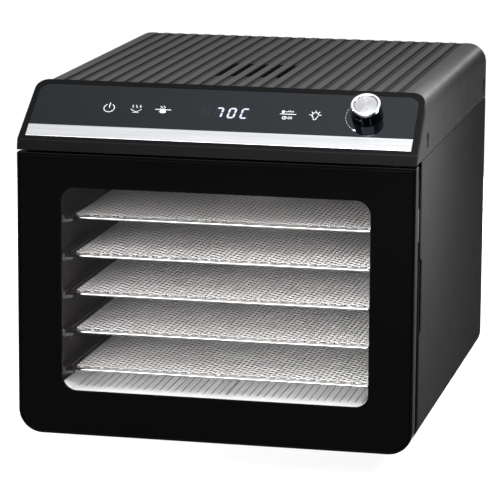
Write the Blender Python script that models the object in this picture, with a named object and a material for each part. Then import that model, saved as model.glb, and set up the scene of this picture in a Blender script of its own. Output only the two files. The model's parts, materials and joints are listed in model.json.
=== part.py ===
"""Countertop food dehydrator with five mesh trays, a glass door and a sloped control panel.

Model frame: X to the right, Y towards the rear, Z up, in metres. The origin is under the middle
of the object, on the surface that its feet stand on. The sizes below are in millimetres, in the
design frame: y = 0 is the door's front face and z = 0 is the door's lower edge.
"""
import math

import bmesh
import bpy
from mathutils import Matrix, Vector

MM = 0.001

# ---- driving dimensions (mm) ----
WIDTH = 340.0
DEPTH = 394.0
FOOT_HEIGHT = 4.0
GAP = 0.3                      # clearance between touching solids

DOOR_TOP = 242.3
DOOR_THICK = 15.3
DOOR_CORNER = 20.5             # radius of the two lower corners, door and casing alike
DOOR_TOP_CORNER = 1.2
PANE_INSET = 2.6
PANE_FRONT = 0.2
PANE_THICK = 3.2
WINDOW_HALF = 132.2
WINDOW_LOW = 37.8
WINDOW_HIGH = 213.6
WINDOW_CORNER = 12.5

WRAP_FRONT = 28.3
WRAP_SHEET = 1.0
SPLIT = 244.5                  # line between the casing wrap and the top cover
NOTCH_LOW = 94.0
NOTCH_HIGH = 162.0
NOTCH_DEPTH = 6.3
FRAME_SHEET = 2.0              # front frame's flange

COVER_TOP = 295.0
COVER_CORNER = 17.0
COVER_SKIRT = 5.0              # thickness of the cover's sides
COVER_ROOF = 4.0
COVER_INNER_CORNER = 12.0
RIB_PITCH = 13.13
RIB_DEPTH = 1.4
GROOVE_MOUTH = 3.15            # half widths of a groove between two ribs
GROOVE_FLOOR = 2.8
GROOVES_EACH_SIDE = 11
VENTS_EACH_SIDE = 2            # of the middle groove, which has one too
VENT_HALF = 2.6
VENT_FRONT = 131.0
VENT_BACK = 212.0
SCREW_Z = 257.3
SCREW_SPOTS = (("front", 54.0), ("rear", 380.0))
SCREW_RECESS_R = 6.8
SCREW_RECESS_DEPTH = 3.2

SLOPE_FOOT = (1.64, 253.04)    # y, z where the sloped panel starts above the lip
SLOPE_DEG = 37.91
SLOPE_LENGTH = 70.37
BEZEL_THICK = 3.6
BEZEL_CORNER = 11.0
LIP_THICK = 2.0
LIP_LOW = 244.0                # lower edge of the lip above the door
POCKET_DEPTH = 2.2             # recess in the bezel that holds the panel and the strip
PANEL_THICK = 1.8
STRIP_LOW = 4.6                # distances up the slope
STRIP_HIGH = 17.9
PANEL_HIGH = 65.0
PANEL_HALF = 164.0
KNOB_X = 121.8
KNOB_UP = 43.2                 # knob axis, distance up the slope
DISPLAY_X = 3.0
DISPLAY_UP = 39.0
DISPLAY_WIDE = 56.0
DISPLAY_TALL = 18.0
BOARD_FACE = -14.0             # height of the control board's face over the slope
BOARD_THICK = 1.6

KNOB_TALL = 13.1
KNOB_SKIRT_R = 13.3
KNOB_RING_R = 12.6
KNOB_CAP_R = 9.7
KNOB_SEAT = 11.2               # height of the skirt's top, which the ring and the cap sit on
KNOB_SHAFT_R = 3.0

CAVITY_HALF = 142.0
CAVITY_LOW = 24.0
CAVITY_HIGH = 228.0
CAVITY_FRONT = 31.0
CAVITY_SHEET = 1.5
BAFFLE_Y = 300.0

TRAY_COUNT = 5
TRAY_PITCH = 33.2
TOP_TRAY_Z = 182.2             # middle of the rim of the top tray
TRAY_HALF = 136.9
TRAY_FRONT = 30.0
TRAY_BACK = 291.0
TRAY_CORNER = 14.0
TRAY_BEAD = 1.2                # half height of the tray's bead
TRAY_SHEET = 0.4               # half thickness of the tray's flat border
MESH_INSET = 6.0
RUNNER_WIDTH = 4.6
RUNNER_HEIGHT = 6.4
LEDGE_WIDTH = 7.0

DRIP_TRAY_Z = 30.0
DRIP_PITCH = 6.6
DRIP_WALL = 8.0
DRIP_FLARE = 7.0
DRIP_SHEET = 1.8

HINGE_X = -165.5
HINGE_Y = 19.5
HINGE_HALF_TALL = 14.0
KNUCKLE_R = 3.0
PIN_R = 1.5
PIN_HOLE_R = 1.6
HINGE_LOWS = {"lower": 34.0, "upper": 196.0}

FAN_Y = 306.0
FAN_Z = 126.0
FAN_OPENING_R = 58.0
FAN_R = 54.0
FAN_HUB_R = 11.0
FAN_DEPTH = 15.4
FAN_VANES = 8
MOTOR_R = 27.0
MOTOR_LONG = 32.0
BRACKET_SHEET = 1.6

INLET = (102.0, 132.0, 28.0, 52.0)     # x from and to, z from and to, of the inlet's opening

SEGMENTS = 24

SLOPE = math.radians(SLOPE_DEG)
SLOPE_UP = Vector((0.0, math.cos(SLOPE), math.sin(SLOPE)))
SLOPE_OUT = Vector((0.0, -math.sin(SLOPE), math.cos(SLOPE)))


def clear_scene():
    for item in list(bpy.data.objects):
        bpy.data.objects.remove(item, do_unlink=True)


def world(point):
    """Design millimetres to model metres."""
    x, y, z = point
    return Vector((x, y - DEPTH / 2.0, z + FOOT_HEIGHT)) * MM


def on_slope(x, up, out):
    """A point given across, up along and out of the sloped control panel."""
    foot = Vector((x, SLOPE_FOOT[0], SLOPE_FOOT[1]))
    return foot + SLOPE_UP * up + SLOPE_OUT * out


# ---- materials ----
def material(name, color, roughness, metallic=0.0, alpha=1.0):
    found = bpy.data.materials.get(name)
    if found:
        return found
    made = bpy.data.materials.new(name)
    made.use_nodes = True
    shader = made.node_tree.nodes["Principled BSDF"]
    shader.inputs["Base Color"].default_value = (*color, 1.0)
    shader.inputs["Roughness"].default_value = roughness
    shader.inputs["Metallic"].default_value = metallic
    shader.inputs["Alpha"].default_value = alpha
    made.diffuse_color = (*color, alpha)
    return made


PAINTED = material("painted_casing", (0.045, 0.045, 0.047), 0.45)
COVER_PLASTIC = material("cover_plastic", (0.09, 0.09, 0.092), 0.5)
BLACK_PLASTIC = material("black_plastic", (0.008, 0.008, 0.009), 0.3)
GLOSS_BLACK = material("gloss_black", (0.006, 0.006, 0.007), 0.06)
PANEL_GLASS = material("panel_glass", (0.02, 0.022, 0.025), 0.08)
DOOR_GLASS = material("door_glass", (0.9, 0.92, 0.92), 0.02, 0.0, 0.25)
BRUSHED = material("brushed_aluminium", (0.83, 0.84, 0.86), 0.3, 1.0)
CHROME = material("chrome", (0.85, 0.86, 0.88), 0.06, 1.0)
STAINLESS = material("stainless_steel", (0.72, 0.72, 0.72), 0.22, 1.0)
TRAY_MESH = material("tray_mesh", (0.6, 0.59, 0.57), 0.35, 1.0)
CAVITY_STEEL = material("cavity_steel", (0.2, 0.2, 0.22), 0.4, 0.8)
DRIP_STEEL = material("drip_tray_steel", (0.75, 0.76, 0.77), 0.35, 0.9)
RUBBER = material("rubber", (0.02, 0.02, 0.02), 0.8)
BOARD = material("circuit_board", (0.02, 0.16, 0.06), 0.5)
ZINC = material("zinc_steel", (0.55, 0.56, 0.58), 0.35, 0.9)
HEATER = material("heater_sheath", (0.12, 0.11, 0.1), 0.5, 0.7)
LAMP = material("lamp_lens", (0.9, 0.88, 0.8), 0.3)


# ---- solids ----
def finish_mesh(bm, name, mat, origin, smooth):
    bmesh.ops.recalc_face_normals(bm, faces=bm.faces)
    mesh = bpy.data.meshes.new(name)
    bm.to_mesh(mesh)
    bm.free()
    mesh.materials.append(mat)
    if smooth:
        mesh.shade_smooth()
        mesh.set_sharp_from_angle(angle=math.radians(35))
    made = bpy.data.objects.new(name, mesh)
    made.location = origin
    bpy.context.collection.objects.link(made)
    return made


def solid(name, points, faces, mat, pivot=(0.0, DEPTH / 2.0, -FOOT_HEIGHT), smooth=False):
    """A mesh object from design points; pivot is where its origin lies."""
    origin = world(pivot)
    bm = bmesh.new()
    verts = [bm.verts.new(world(point) - origin) for point in points]
    for face in faces:
        bm.faces.new([verts[index] for index in face])
    return finish_mesh(bm, name, mat, origin, smooth)


def loft(name, loops, mat, closed=False, pivot=(0.0, DEPTH / 2.0, -FOOT_HEIGHT), smooth=False):
    """Loops of equal length joined in order; capped at both ends, or closed on itself."""
    count = len(loops[0])
    points = [point for loop in loops for point in loop]
    faces = []
    spans = len(loops) if closed else len(loops) - 1
    for span in range(spans):
        near = span * count
        far = ((span + 1) % len(loops)) * count
        for index in range(count):
            nxt = (index + 1) % count
            faces.append((near + index, near + nxt, far + nxt, far + index))
    if not closed:
        faces.append(tuple(range(count)))
        faces.append(tuple(range((len(loops) - 1) * count, len(loops) * count)))
    return solid(name, points, faces, mat, pivot, smooth)


def place(axis, along, first, second):
    if axis == "X":
        return (along, first, second)
    if axis == "Y":
        return (first, along, second)
    return (first, second, along)


def prism(name, outline, axis, low, high, mat, **options):
    """A flat outline extruded along one axis."""
    near = [place(axis, low, a, b) for a, b in outline]
    far = [place(axis, high, a, b) for a, b in outline]
    return loft(name, [near, far], mat, **options)


def box(name, low, high, mat, **options):
    outline = [(low[0], low[2]), (high[0], low[2]), (high[0], high[2]), (low[0], high[2])]
    return prism(name, outline, "Y", low[1], high[1], mat, **options)


def arc(center, radius, start_deg, end_deg, steps):
    points = []
    for step in range(steps + 1):
        angle = math.radians(start_deg + (end_deg - start_deg) * step / steps)
        points.append((center[0] + radius * math.cos(angle), center[1] + radius * math.sin(angle)))
    return points


def rounded(half, low, high, lower_r, upper_r, steps=6):
    """A rounded rectangle, symmetric in its first coordinate, counted from the lower right."""
    points = arc((half - lower_r, low + lower_r), lower_r, -90, 0, steps)
    points += arc((half - upper_r, high - upper_r), upper_r, 0, 90, steps)
    points += arc((-half + upper_r, high - upper_r), upper_r, 90, 180, steps)
    points += arc((-half + lower_r, low + lower_r), lower_r, 180, 270, steps)
    return points


def turned(name, profile, center, direction, mat, segments=SEGMENTS, **options):
    """A profile of (radius, height) pairs spun about an axis; it starts and ends on the axis."""
    turn = Vector((0.0, 0.0, 1.0)).rotation_difference(Vector(direction)).to_matrix()
    base = Vector(center)
    points = []
    rings = []
    for radius, height in profile:
        if radius == 0.0:
            rings.append([len(points)])
            points.append(base + turn @ Vector((0.0, 0.0, height)))
            continue
        ring = []
        for step in range(segments):
            angle = 2.0 * math.pi * step / segments
            spot = Vector((radius * math.cos(angle), radius * math.sin(angle), height))
            ring.append(len(points))
            points.append(base + turn @ spot)
        rings.append(ring)
    if profile[0][0] != 0.0:
        rings.append(rings[0])
    faces = []
    for near, far in zip(rings, rings[1:]):
        for step in range(segments):
            nxt = (step + 1) % segments
            if len(near) == 1:
                faces.append((near[0], far[nxt], far[step]))
            elif len(far) == 1:
                faces.append((near[step], near[nxt], far[0]))
            else:
                faces.append((near[step], near[nxt], far[nxt], far[step]))
    options.setdefault("smooth", True)
    return solid(name, points, faces, mat, **options)


def disc(name, radius, low, high, center, direction, mat, **options):
    profile = [(0.0, low), (radius, low), (radius, high), (0.0, high)]
    return turned(name, profile, center, direction, mat, **options)


def cutter(target, tool, operation="DIFFERENCE"):
    """Adds a Boolean with a hidden helper object."""
    tool.hide_render = True
    tool.display_type = "WIRE"
    modifier = target.modifiers.new(operation.title() + " " + tool.name, "BOOLEAN")
    modifier.operation = operation
    modifier.object = tool
    modifier.solver = "EXACT"


def attach(pivot_name, pivot, children, direction=None):
    """An empty on a joint's axis that its moving pieces are parented to."""
    empty = bpy.data.objects.new(pivot_name, None)
    empty.empty_display_size = 20.0 * MM
    empty.location = world(pivot)
    if direction is not None:
        turn = Vector((0.0, 0.0, 1.0)).rotation_difference(Vector(direction))
        empty.rotation_euler = turn.to_euler()
    bpy.context.collection.objects.link(empty)
    empty_place = Matrix.LocRotScale(empty.location, empty.rotation_euler, None)
    for child in children:
        child.parent = empty
        child.matrix_parent_inverse = empty_place.inverted()


# ---- casing ----
def outer_wrap():
    half = WIDTH / 2.0
    top = SPLIT - 0.6
    inner_r = DOOR_CORNER - WRAP_SHEET
    center_z = DOOR_CORNER
    outline = [(half, top)]
    outline += arc((half - DOOR_CORNER, center_z), DOOR_CORNER, 0, -90, 7)
    outline += arc((-half + DOOR_CORNER, center_z), DOOR_CORNER, -90, -180, 7)
    outline += [(-half, top), (-half + WRAP_SHEET, top)]
    outline += arc((-half + DOOR_CORNER, center_z), inner_r, -180, -90, 7)
    outline += arc((half - DOOR_CORNER, center_z), inner_r, -90, 0, 7)
    outline.append((half - WRAP_SHEET, top))
    made = prism("outer_wrap", outline, "Y", WRAP_FRONT, DEPTH, PAINTED)
    clear, slant = 5.0, 4.0
    deepest = WRAP_FRONT + NOTCH_DEPTH
    notch = [(WRAP_FRONT - clear, NOTCH_LOW - clear), (WRAP_FRONT, NOTCH_LOW)]
    notch += [(deepest, NOTCH_LOW + slant), (deepest, NOTCH_HIGH - slant)]
    notch += [(WRAP_FRONT, NOTCH_HIGH), (WRAP_FRONT - clear, NOTCH_HIGH + clear)]
    cutter(made, prism("finger_notch_cut", notch, "X", half - 10.0, half + 10.0, PAINTED))


def cover_outline():
    """Cross-section of the ribbed top cover, open at the bottom."""
    half = WIDTH / 2.0
    low = SPLIT + GAP
    skirt = half - COVER_SKIRT
    roof = COVER_TOP - COVER_ROOF
    inner = COVER_INNER_CORNER
    outline = [(half, low)]
    outline += arc((half - COVER_CORNER, COVER_TOP - COVER_CORNER), COVER_CORNER, 0, 90, 8)
    for index in range(GROOVES_EACH_SIDE, -GROOVES_EACH_SIDE - 1, -1):
        middle = index * RIB_PITCH
        floor = COVER_TOP - RIB_DEPTH
        outline += [(middle + GROOVE_MOUTH, COVER_TOP), (middle + GROOVE_FLOOR, floor)]
        outline += [(middle - GROOVE_FLOOR, floor), (middle - GROOVE_MOUTH, COVER_TOP)]
    outline += arc((-half + COVER_CORNER, COVER_TOP - COVER_CORNER), COVER_CORNER, 90, 180, 8)
    outline += [(-half, low), (-skirt, low)]
    outline += arc((-skirt + inner, roof - inner), inner, 180, 90, 5)
    outline += arc((skirt - inner, roof - inner), inner, 90, 0, 5)
    outline.append((skirt, low))
    return outline


def slope_back(z, offset):
    """y of the plane lying offset millimetres behind the sloped panel, at height z."""
    rise = (z - SLOPE_FOOT[1]) * math.cos(SLOPE)
    return SLOPE_FOOT[0] + (rise + offset) / math.sin(SLOPE)


def cover_screw_places():
    """Name, centre on the cover's side face and outward direction of each side screw."""
    for side, side_name in ((-1, "left"), (1, "right")):
        for spot, y in SCREW_SPOTS:
            yield spot + "_" + side_name, (side * WIDTH / 2.0, y, SCREW_Z), (side, 0, 0)


def top_cover():
    outline = cover_outline()
    lip_back = LIP_THICK + 0.2 + GAP
    front = [(x, max(lip_back, slope_back(z, BEZEL_THICK + GAP)), z) for x, z in outline]
    back = [(x, DEPTH, z) for x, z in outline]
    made = loft("top_cover", [front, back], COVER_PLASTIC)
    for index in range(-VENTS_EACH_SIDE, VENTS_EACH_SIDE + 1):
        middle = index * RIB_PITCH
        low = (middle - VENT_HALF, VENT_FRONT, COVER_TOP - 2.0 * COVER_ROOF)
        high = (middle + VENT_HALF, VENT_BACK, COVER_TOP + COVER_ROOF)
        cutter(made, box("vent_cut_%d" % (index + VENTS_EACH_SIDE + 1), low, high, COVER_PLASTIC))
    hole_r, through = 2.2, -9.0
    stepped = [(0.0, 6.0), (SCREW_RECESS_R, 6.0), (SCREW_RECESS_R, -SCREW_RECESS_DEPTH),
               (hole_r, -SCREW_RECESS_DEPTH), (hole_r, through), (0.0, through)]
    for name, center, outward in cover_screw_places():
        cutter(made, turned("screw_recess_" + name, stepped, center, outward, COVER_PLASTIC))


def cover_screws():
    head_r, shank_r = 3.8, 1.9
    face, rim, seat, end = -1.2, -1.7, -SCREW_RECESS_DEPTH + GAP, -12.0
    profile = [(0.0, face), (3.0, face), (head_r, rim), (head_r, seat), (shank_r, seat), (shank_r, end),
               (0.0, end)]
    for name, center, outward in cover_screw_places():
        turned("cover_screw_" + name, profile, center, outward, ZINC, segments=12)


def slope_outline(half_low, half_high, low, high, corner, steps=6):
    """Outline in the panel plane with rounded upper corners, and sides that lean in."""
    lean = (half_low - half_high) / (high - low)
    points = [(half_low, low)]
    arc_right = arc((half_high - corner, high - corner), corner, 0, 90, steps)
    points += [(x + lean * corner * (1.0 - step / steps), up) for step, (x, up) in enumerate(arc_right)]
    return points + [(-x, up) for x, up in reversed(points)]


def slope_prism(name, outline, low, high, mat, **options):
    near = [on_slope(x, up, low) for x, up in outline]
    far = [on_slope(x, up, high) for x, up in outline]
    return loft(name, [near, far], mat, **options)


def slope_rectangle(x, up, wide, tall):
    half_wide, half_tall = wide / 2.0, tall / 2.0
    return [(x - half_wide, up - half_tall), (x + half_wide, up - half_tall),
            (x + half_wide, up + half_tall), (x - half_wide, up + half_tall)]


def knob_disc(name, radius, low, high, mat, **options):
    """A disc on the knob's axis, between two heights over the slope."""
    return disc(name, radius, low, high, on_slope(KNOB_X, KNOB_UP, 0.0), SLOPE_OUT, mat, **options)


def control_bezel():
    front_low = (0.2, LIP_LOW)
    back_y = front_low[0] + LIP_THICK
    crease = SLOPE_FOOT[1] + ((back_y - SLOPE_FOOT[0]) * math.sin(SLOPE) - BEZEL_THICK) / math.cos(SLOPE)
    spare = SLOPE_LENGTH + 8.0
    top_front = on_slope(0.0, spare, 0.0)
    top_back = on_slope(0.0, spare, -BEZEL_THICK)
    outline = [front_low, SLOPE_FOOT, tuple(top_front[1:]), tuple(top_back[1:])]
    outline += [(back_y, crease), (back_y, front_low[1])]
    half = WIDTH / 2.0 - 0.1
    made = prism("control_bezel", outline, "X", -half, half, BLACK_PLASTIC)
    side_lean = 3.5
    rim = slope_outline(half + 1.0, half + 1.0 - side_lean, -30.0, SLOPE_LENGTH, BEZEL_CORNER)
    cutter(made, slope_prism("bezel_outline", rim, -40.0, 40.0, BLACK_PLASTIC), "INTERSECT")
    pocket = slope_outline(PANEL_HALF + GAP, PANEL_HALF - 0.5, STRIP_LOW - GAP, PANEL_HIGH + GAP, 9.8)
    cutter(made, slope_prism("panel_pocket", pocket, -POCKET_DEPTH, 10.0, BLACK_PLASTIC))
    window = slope_rectangle(DISPLAY_X, DISPLAY_UP, DISPLAY_WIDE + 4.0, DISPLAY_TALL + 4.0)
    cutter(made, slope_prism("display_window_cut", window, -12.0, 6.0, BLACK_PLASTIC))
    cutter(made, knob_disc("encoder_hole_cut", 5.0, -12.0, 6.0, BLACK_PLASTIC))


def control_panel():
    outline = slope_outline(PANEL_HALF, PANEL_HALF - 0.8, STRIP_HIGH + 0.35, PANEL_HIGH, 9.5)
    made = slope_prism("control_panel", outline, -0.1 - PANEL_THICK, -0.1, PANEL_GLASS)
    cutter(made, knob_disc("panel_hole_cut", 4.2, -6.0, 4.0, PANEL_GLASS))


def trim_strip():
    outline = [(-PANEL_HALF, STRIP_LOW), (PANEL_HALF, STRIP_LOW)]
    outline += [(PANEL_HALF, STRIP_HIGH), (-PANEL_HALF, STRIP_HIGH)]
    slope_prism("trim_strip", outline, -0.1 - PANEL_THICK, 0.0, BRUSHED)


def posts(board, spots, radius, tall, direction):
    """Spacers that stand on a board and are one solid with it."""
    for index, spot in enumerate(spots):
        post = disc("%s_post_%d" % (board.name, index), radius, -BOARD_THICK / 2.0, tall, spot,
                    direction, BOARD, segments=10)
        cutter(board, post, "UNION")


def control_electronics():
    middle_up = 38.0
    outline = slope_rectangle(15.0, middle_up, 270.0, 42.0)
    board = slope_prism("control_board", outline, BOARD_FACE - BOARD_THICK, BOARD_FACE, BOARD)
    spots = [on_slope(x, middle_up, BOARD_FACE) for x in (-110.0, -50.0, 60.0)]
    posts(board, spots, 2.5, -BOARD_FACE - BEZEL_THICK - GAP, SLOPE_OUT)
    seat = BOARD_FACE + GAP
    display = slope_rectangle(DISPLAY_X, DISPLAY_UP, DISPLAY_WIDE, DISPLAY_TALL)
    slope_prism("display_module", display, seat, -POCKET_DEPTH - 0.1, BLACK_PLASTIC)
    encoder = slope_prism("encoder_body", slope_rectangle(KNOB_X, KNOB_UP, 14.0, 14.0), seat, -5.0, ZINC)
    cutter(encoder, knob_disc("encoder_bush", 3.5, -8.0, 0.2, ZINC, segments=12), "UNION")


def power_electronics():
    under, face = 236.0, 237.6
    low_x, high_x, low_y, high_y = -120.0, -20.0, 110.0, 180.0
    board = box("power_board", (low_x, low_y, under), (high_x, high_y, face), BOARD)
    edge = 5.0
    spots = [(x, y, under) for y in (low_y + edge, high_y - edge) for x in (low_x + edge, high_x - edge)]
    posts(board, spots, 2.5, under - CAVITY_HIGH - CAVITY_SHEET - GAP, (0, 0, -1))
    coil = box("transformer_block", (-105.0, 125.0, face - 0.6), (-70.0, 160.0, 262.0), BOARD)
    cutter(board, coil, "UNION")


def upright_ring(half, low, high, lower_r, upper_r, y, steps=6):
    """A rounded rectangle seen from the front, at one distance from the front."""
    return [(x, y, z) for x, z in rounded(half, low, high, lower_r, upper_r, steps)]


def front_frame():
    """Black collar around the cavity mouth, with a flange that meets the casing wrap."""
    flange = (WIDTH / 2.0 - WRAP_SHEET - GAP, WRAP_SHEET + GAP, SPLIT - 1.0, DOOR_CORNER, DOOR_CORNER)
    collar = (160.0, 6.0, DOOR_TOP - 2.0, 18.0, 18.0)
    mouth = (CAVITY_HALF, CAVITY_LOW, CAVITY_HIGH, 2.0, 2.0)
    flange_front = WRAP_FRONT + GAP
    flange_back = flange_front + FRAME_SHEET
    collar_front = HINGE_Y - 0.5
    loops = [upright_ring(*flange, flange_back, 4), upright_ring(*flange, flange_front, 4),
             upright_ring(*collar, flange_front, 4), upright_ring(*collar, collar_front, 4),
             upright_ring(*mouth, collar_front, 4), upright_ring(*mouth, flange_back, 4)]
    loft("front_frame", loops, BLACK_PLASTIC, closed=True)


def rear_cover():
    low = WRAP_SHEET + GAP
    half = WIDTH / 2.0 - WRAP_SHEET - GAP
    narrow = WIDTH / 2.0 - COVER_SKIRT - GAP
    inner = COVER_INNER_CORNER
    right = arc((half - DOOR_CORNER, low + DOOR_CORNER), DOOR_CORNER, -90, 0, 5)
    right += [(half, SPLIT - 0.5), (narrow, SPLIT - 0.5)]
    right += arc((narrow - inner, COVER_TOP - COVER_ROOF - GAP - inner), inner, 0, 90, 4)
    outline = right + [(-x, z) for x, z in reversed(right)]
    front, back = DEPTH - 3.0, DEPTH - 1.4
    made = prism("rear_cover", outline, "Y", front, back, PAINTED)
    columns, pitch, row_pitch, half_wide, half_tall = 7, 14.0, 48.0, 2.5, 20.0
    for row in range(2):
        for column in range(columns):
            x = (column - (columns - 1) / 2.0) * pitch
            z = FAN_Z + (row - 0.5) * row_pitch
            cutter(made, box("rear_slot_%d_%d" % (row, column), (x - half_wide, front - 5.0, z - half_tall),
                             (x + half_wide, DEPTH + 3.0, z + half_tall), PAINTED))
    low_x, high_x, low_z, high_z = INLET
    cutter(made, box("inlet_cut", (low_x, front - 5.0, low_z), (high_x, DEPTH + 3.0, high_z), PAINTED))


def power_inlet():
    """Appliance inlet whose socket has two slanted upper corners."""
    low_x, high_x, low_z, high_z = INLET
    body = box("power_inlet", (low_x + GAP, DEPTH - 22.0, low_z + GAP), (high_x - GAP, DEPTH, high_z - GAP),
               BLACK_PLASTIC)
    wall, slant = 3.5, 5.0
    left, right, floor, top = low_x + wall, high_x - wall, low_z + 4.0, high_z - 4.0
    hollow = [(left, floor), (right, floor), (right, top - slant), (right - slant, top),
              (left + slant, top), (left, top - slant)]
    cutter(body, prism("socket_cut", hollow, "Y", DEPTH - 17.0, DEPTH + 2.0, BLACK_PLASTIC))


def feet():
    radius, ease = 9.5, 1.5
    tall = FOOT_HEIGHT - GAP
    profile = [(0.0, 0.0), (radius - ease, 0.0), (radius, ease), (radius, tall), (0.0, tall)]
    for end, y in (("front", 60.0), ("rear", 350.0)):
        for side, x in (("left", -125.0), ("right", 125.0)):
            turned("foot_%s_%s" % (end, side), profile, (x, y, -FOOT_HEIGHT), (0, 0, 1), RUBBER, segments=16)


# ---- cavity ----
def racks():
    """Side walls of the cavity, each with a runner bar and a ledge for every tray."""
    bar = CAVITY_HALF - RUNNER_WIDTH
    ledge = bar - LEDGE_WIDTH
    ledge_tip = 1.6
    for side, name in ((-1, "left_rack"), (1, "right_rack")):
        outline = [(CAVITY_HALF + CAVITY_SHEET, CAVITY_LOW), (CAVITY_HALF + CAVITY_SHEET, CAVITY_HIGH)]
        outline.append((CAVITY_HALF, CAVITY_HIGH))
        for index in range(TRAY_COUNT):
            middle = TOP_TRAY_Z - index * TRAY_PITCH
            ledge_top = middle - TRAY_BEAD - GAP
            top = middle + 1.5
            low = top - RUNNER_HEIGHT
            outline += [(CAVITY_HALF, top), (bar, top), (bar, ledge_top), (ledge, ledge_top)]
            outline += [(ledge, low + ledge_tip), (bar, low), (CAVITY_HALF, low)]
        outline.append((CAVITY_HALF, CAVITY_LOW))
        outline = [(side * x, z) for x, z in outline]
        prism(name, outline, "Y", CAVITY_FRONT, BAFFLE_Y - GAP, CAVITY_STEEL)


def cavity_ceiling():
    half = CAVITY_HALF + CAVITY_SHEET
    center = (0.0, 165.0, CAVITY_HIGH)
    ceiling = box("cavity_ceiling", (-half, CAVITY_FRONT, CAVITY_HIGH + GAP),
                  (half, BAFFLE_Y - GAP, CAVITY_HIGH + CAVITY_SHEET), CAVITY_STEEL)
    neck_r, collar_r, neck_top = 12.0, 13.4, 5.0
    cutter(ceiling, disc("lamp_hole_cut", neck_r + 0.4, -4.0, 6.0, center, (0, 0, 1), CAVITY_STEEL))
    lens = [(0.0, -3.0), (8.0, -2.6), (collar_r, -0.9), (collar_r, 0.0), (neck_r, 0.0), (neck_r, neck_top),
            (0.0, neck_top)]
    turned("cavity_lamp", lens, center, (0, 0, 1), LAMP, segments=20)


def cavity_shell():
    half = CAVITY_HALF + CAVITY_SHEET
    low, high = CAVITY_LOW - GAP - CAVITY_SHEET, CAVITY_HIGH + CAVITY_SHEET
    box("cavity_floor", (-half, CAVITY_FRONT, low), (half, BAFFLE_Y - GAP, CAVITY_LOW - GAP), CAVITY_STEEL)
    baffle = box("rear_baffle", (-half, BAFFLE_Y, low), (half, BAFFLE_Y + CAVITY_SHEET, high), CAVITY_STEEL)
    fan_center = (0.0, BAFFLE_Y, FAN_Z)
    cutter(baffle, disc("fan_opening_cut", FAN_OPENING_R, -6.0, 6.0, fan_center, (0, 1, 0), CAVITY_STEEL))
    rows, lowest, pitch, middle_x, half_wide, half_tall = 6, 46.0, 32.0, 111.0, 22.0, 3.0
    for side, side_name in ((-1, "left"), (1, "right")):
        for row in range(rows):
            x = side * middle_x
            z = lowest + row * pitch
            low_corner = (x - half_wide, BAFFLE_Y - 5.0, z - half_tall)
            high_corner = (x + half_wide, BAFFLE_Y + 6.0, z + half_tall)
            cutter(baffle, box("air_slot_%s_%d" % (side_name, row), low_corner, high_corner, CAVITY_STEEL))


def fan_guard():
    """Rings on a cross of two spokes, in front of the fan opening."""
    center = (0.0, BAFFLE_Y, FAN_Z)
    low, high = -1.6, -GAP
    inner_r, outer_r = 60.0, 64.0
    bar_half = 1.2

    def flat_ring(name, inner, outer):
        profile = [(inner, low), (outer, low), (outer, high), (inner, high)]
        return turned(name, profile, center, (0, 1, 0), STAINLESS, segments=32)
    guard = flat_ring("fan_guard", inner_r, outer_r)
    for index, radius in enumerate((21.0, 41.0)):
        cutter(guard, flat_ring("guard_ring_%d" % index, radius, radius + 2.0), "UNION")
    reach = (inner_r + outer_r) / 2.0
    for name, wide, tall in (("upright", bar_half, reach), ("level", reach, bar_half)):
        spoke = box("guard_spoke_" + name, (-wide, BAFFLE_Y + low, FAN_Z - tall),
                    (wide, BAFFLE_Y + high, FAN_Z + tall), STAINLESS)
        cutter(guard, spoke, "UNION")


def heater_ring():
    """Tubular heater bent round the fan, with both ends turned back through to the terminals."""
    radius, tube, sides = 67.0, 3.2, 8
    ring_y, terminal_y, terminal_x = FAN_Y + 9.0, FAN_Y + 46.0, 9.0
    start, sweep, steps = -97.0, -346.0, 32
    path = [Vector((-terminal_x, terminal_y, FAN_Z - radius))]
    for x, z in arc((0.0, FAN_Z), radius, start, start + sweep, steps):
        path.append(Vector((x, ring_y, z)))
    path.append(Vector((terminal_x, terminal_y, FAN_Z - radius)))
    loops = []
    for index, point in enumerate(path):
        before = path[max(index - 1, 0)]
        after = path[min(index + 1, len(path) - 1)]
        ahead = (after - before).normalized()
        side = ahead.cross(Vector((point.x, 0.0, point.z - FAN_Z)).normalized()).normalized()
        up = side.cross(ahead).normalized()
        at_bend = index in (1, len(path) - 2)
        stretch = math.sqrt(2.0) if at_bend else 1.0
        section = arc((0.0, 0.0), tube, 0.0, 360.0, sides)[:-1]
        loops.append([point + side * (stretch * across) + up * rise for across, rise in section])
    loft("heater_ring", loops, HEATER, smooth=True)


def motor_bracket(back):
    """A bent strap that stands on the baffle and carries the motor behind the fan."""
    leg_front = BAFFLE_Y + CAVITY_SHEET + GAP
    reach, tab, half_tall = 76.0, 10.0, 20.0
    sheet = BRACKET_SHEET
    right = [(reach, back), (reach, leg_front), (reach + tab, leg_front), (reach + tab, leg_front + sheet),
             (reach + sheet, leg_front + sheet), (reach + sheet, back + sheet)]
    outline = right + [(-x, y) for x, y in reversed(right)]
    bracket = prism("motor_bracket", outline, "Z", FAN_Z - half_tall, FAN_Z + half_tall, ZINC)
    cutter(bracket, disc("bracket_hole_cut", 6.0, back - 5.0, back + 6.0, (0.0, 0.0, FAN_Z), (0, 1, 0), ZINC))


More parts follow.
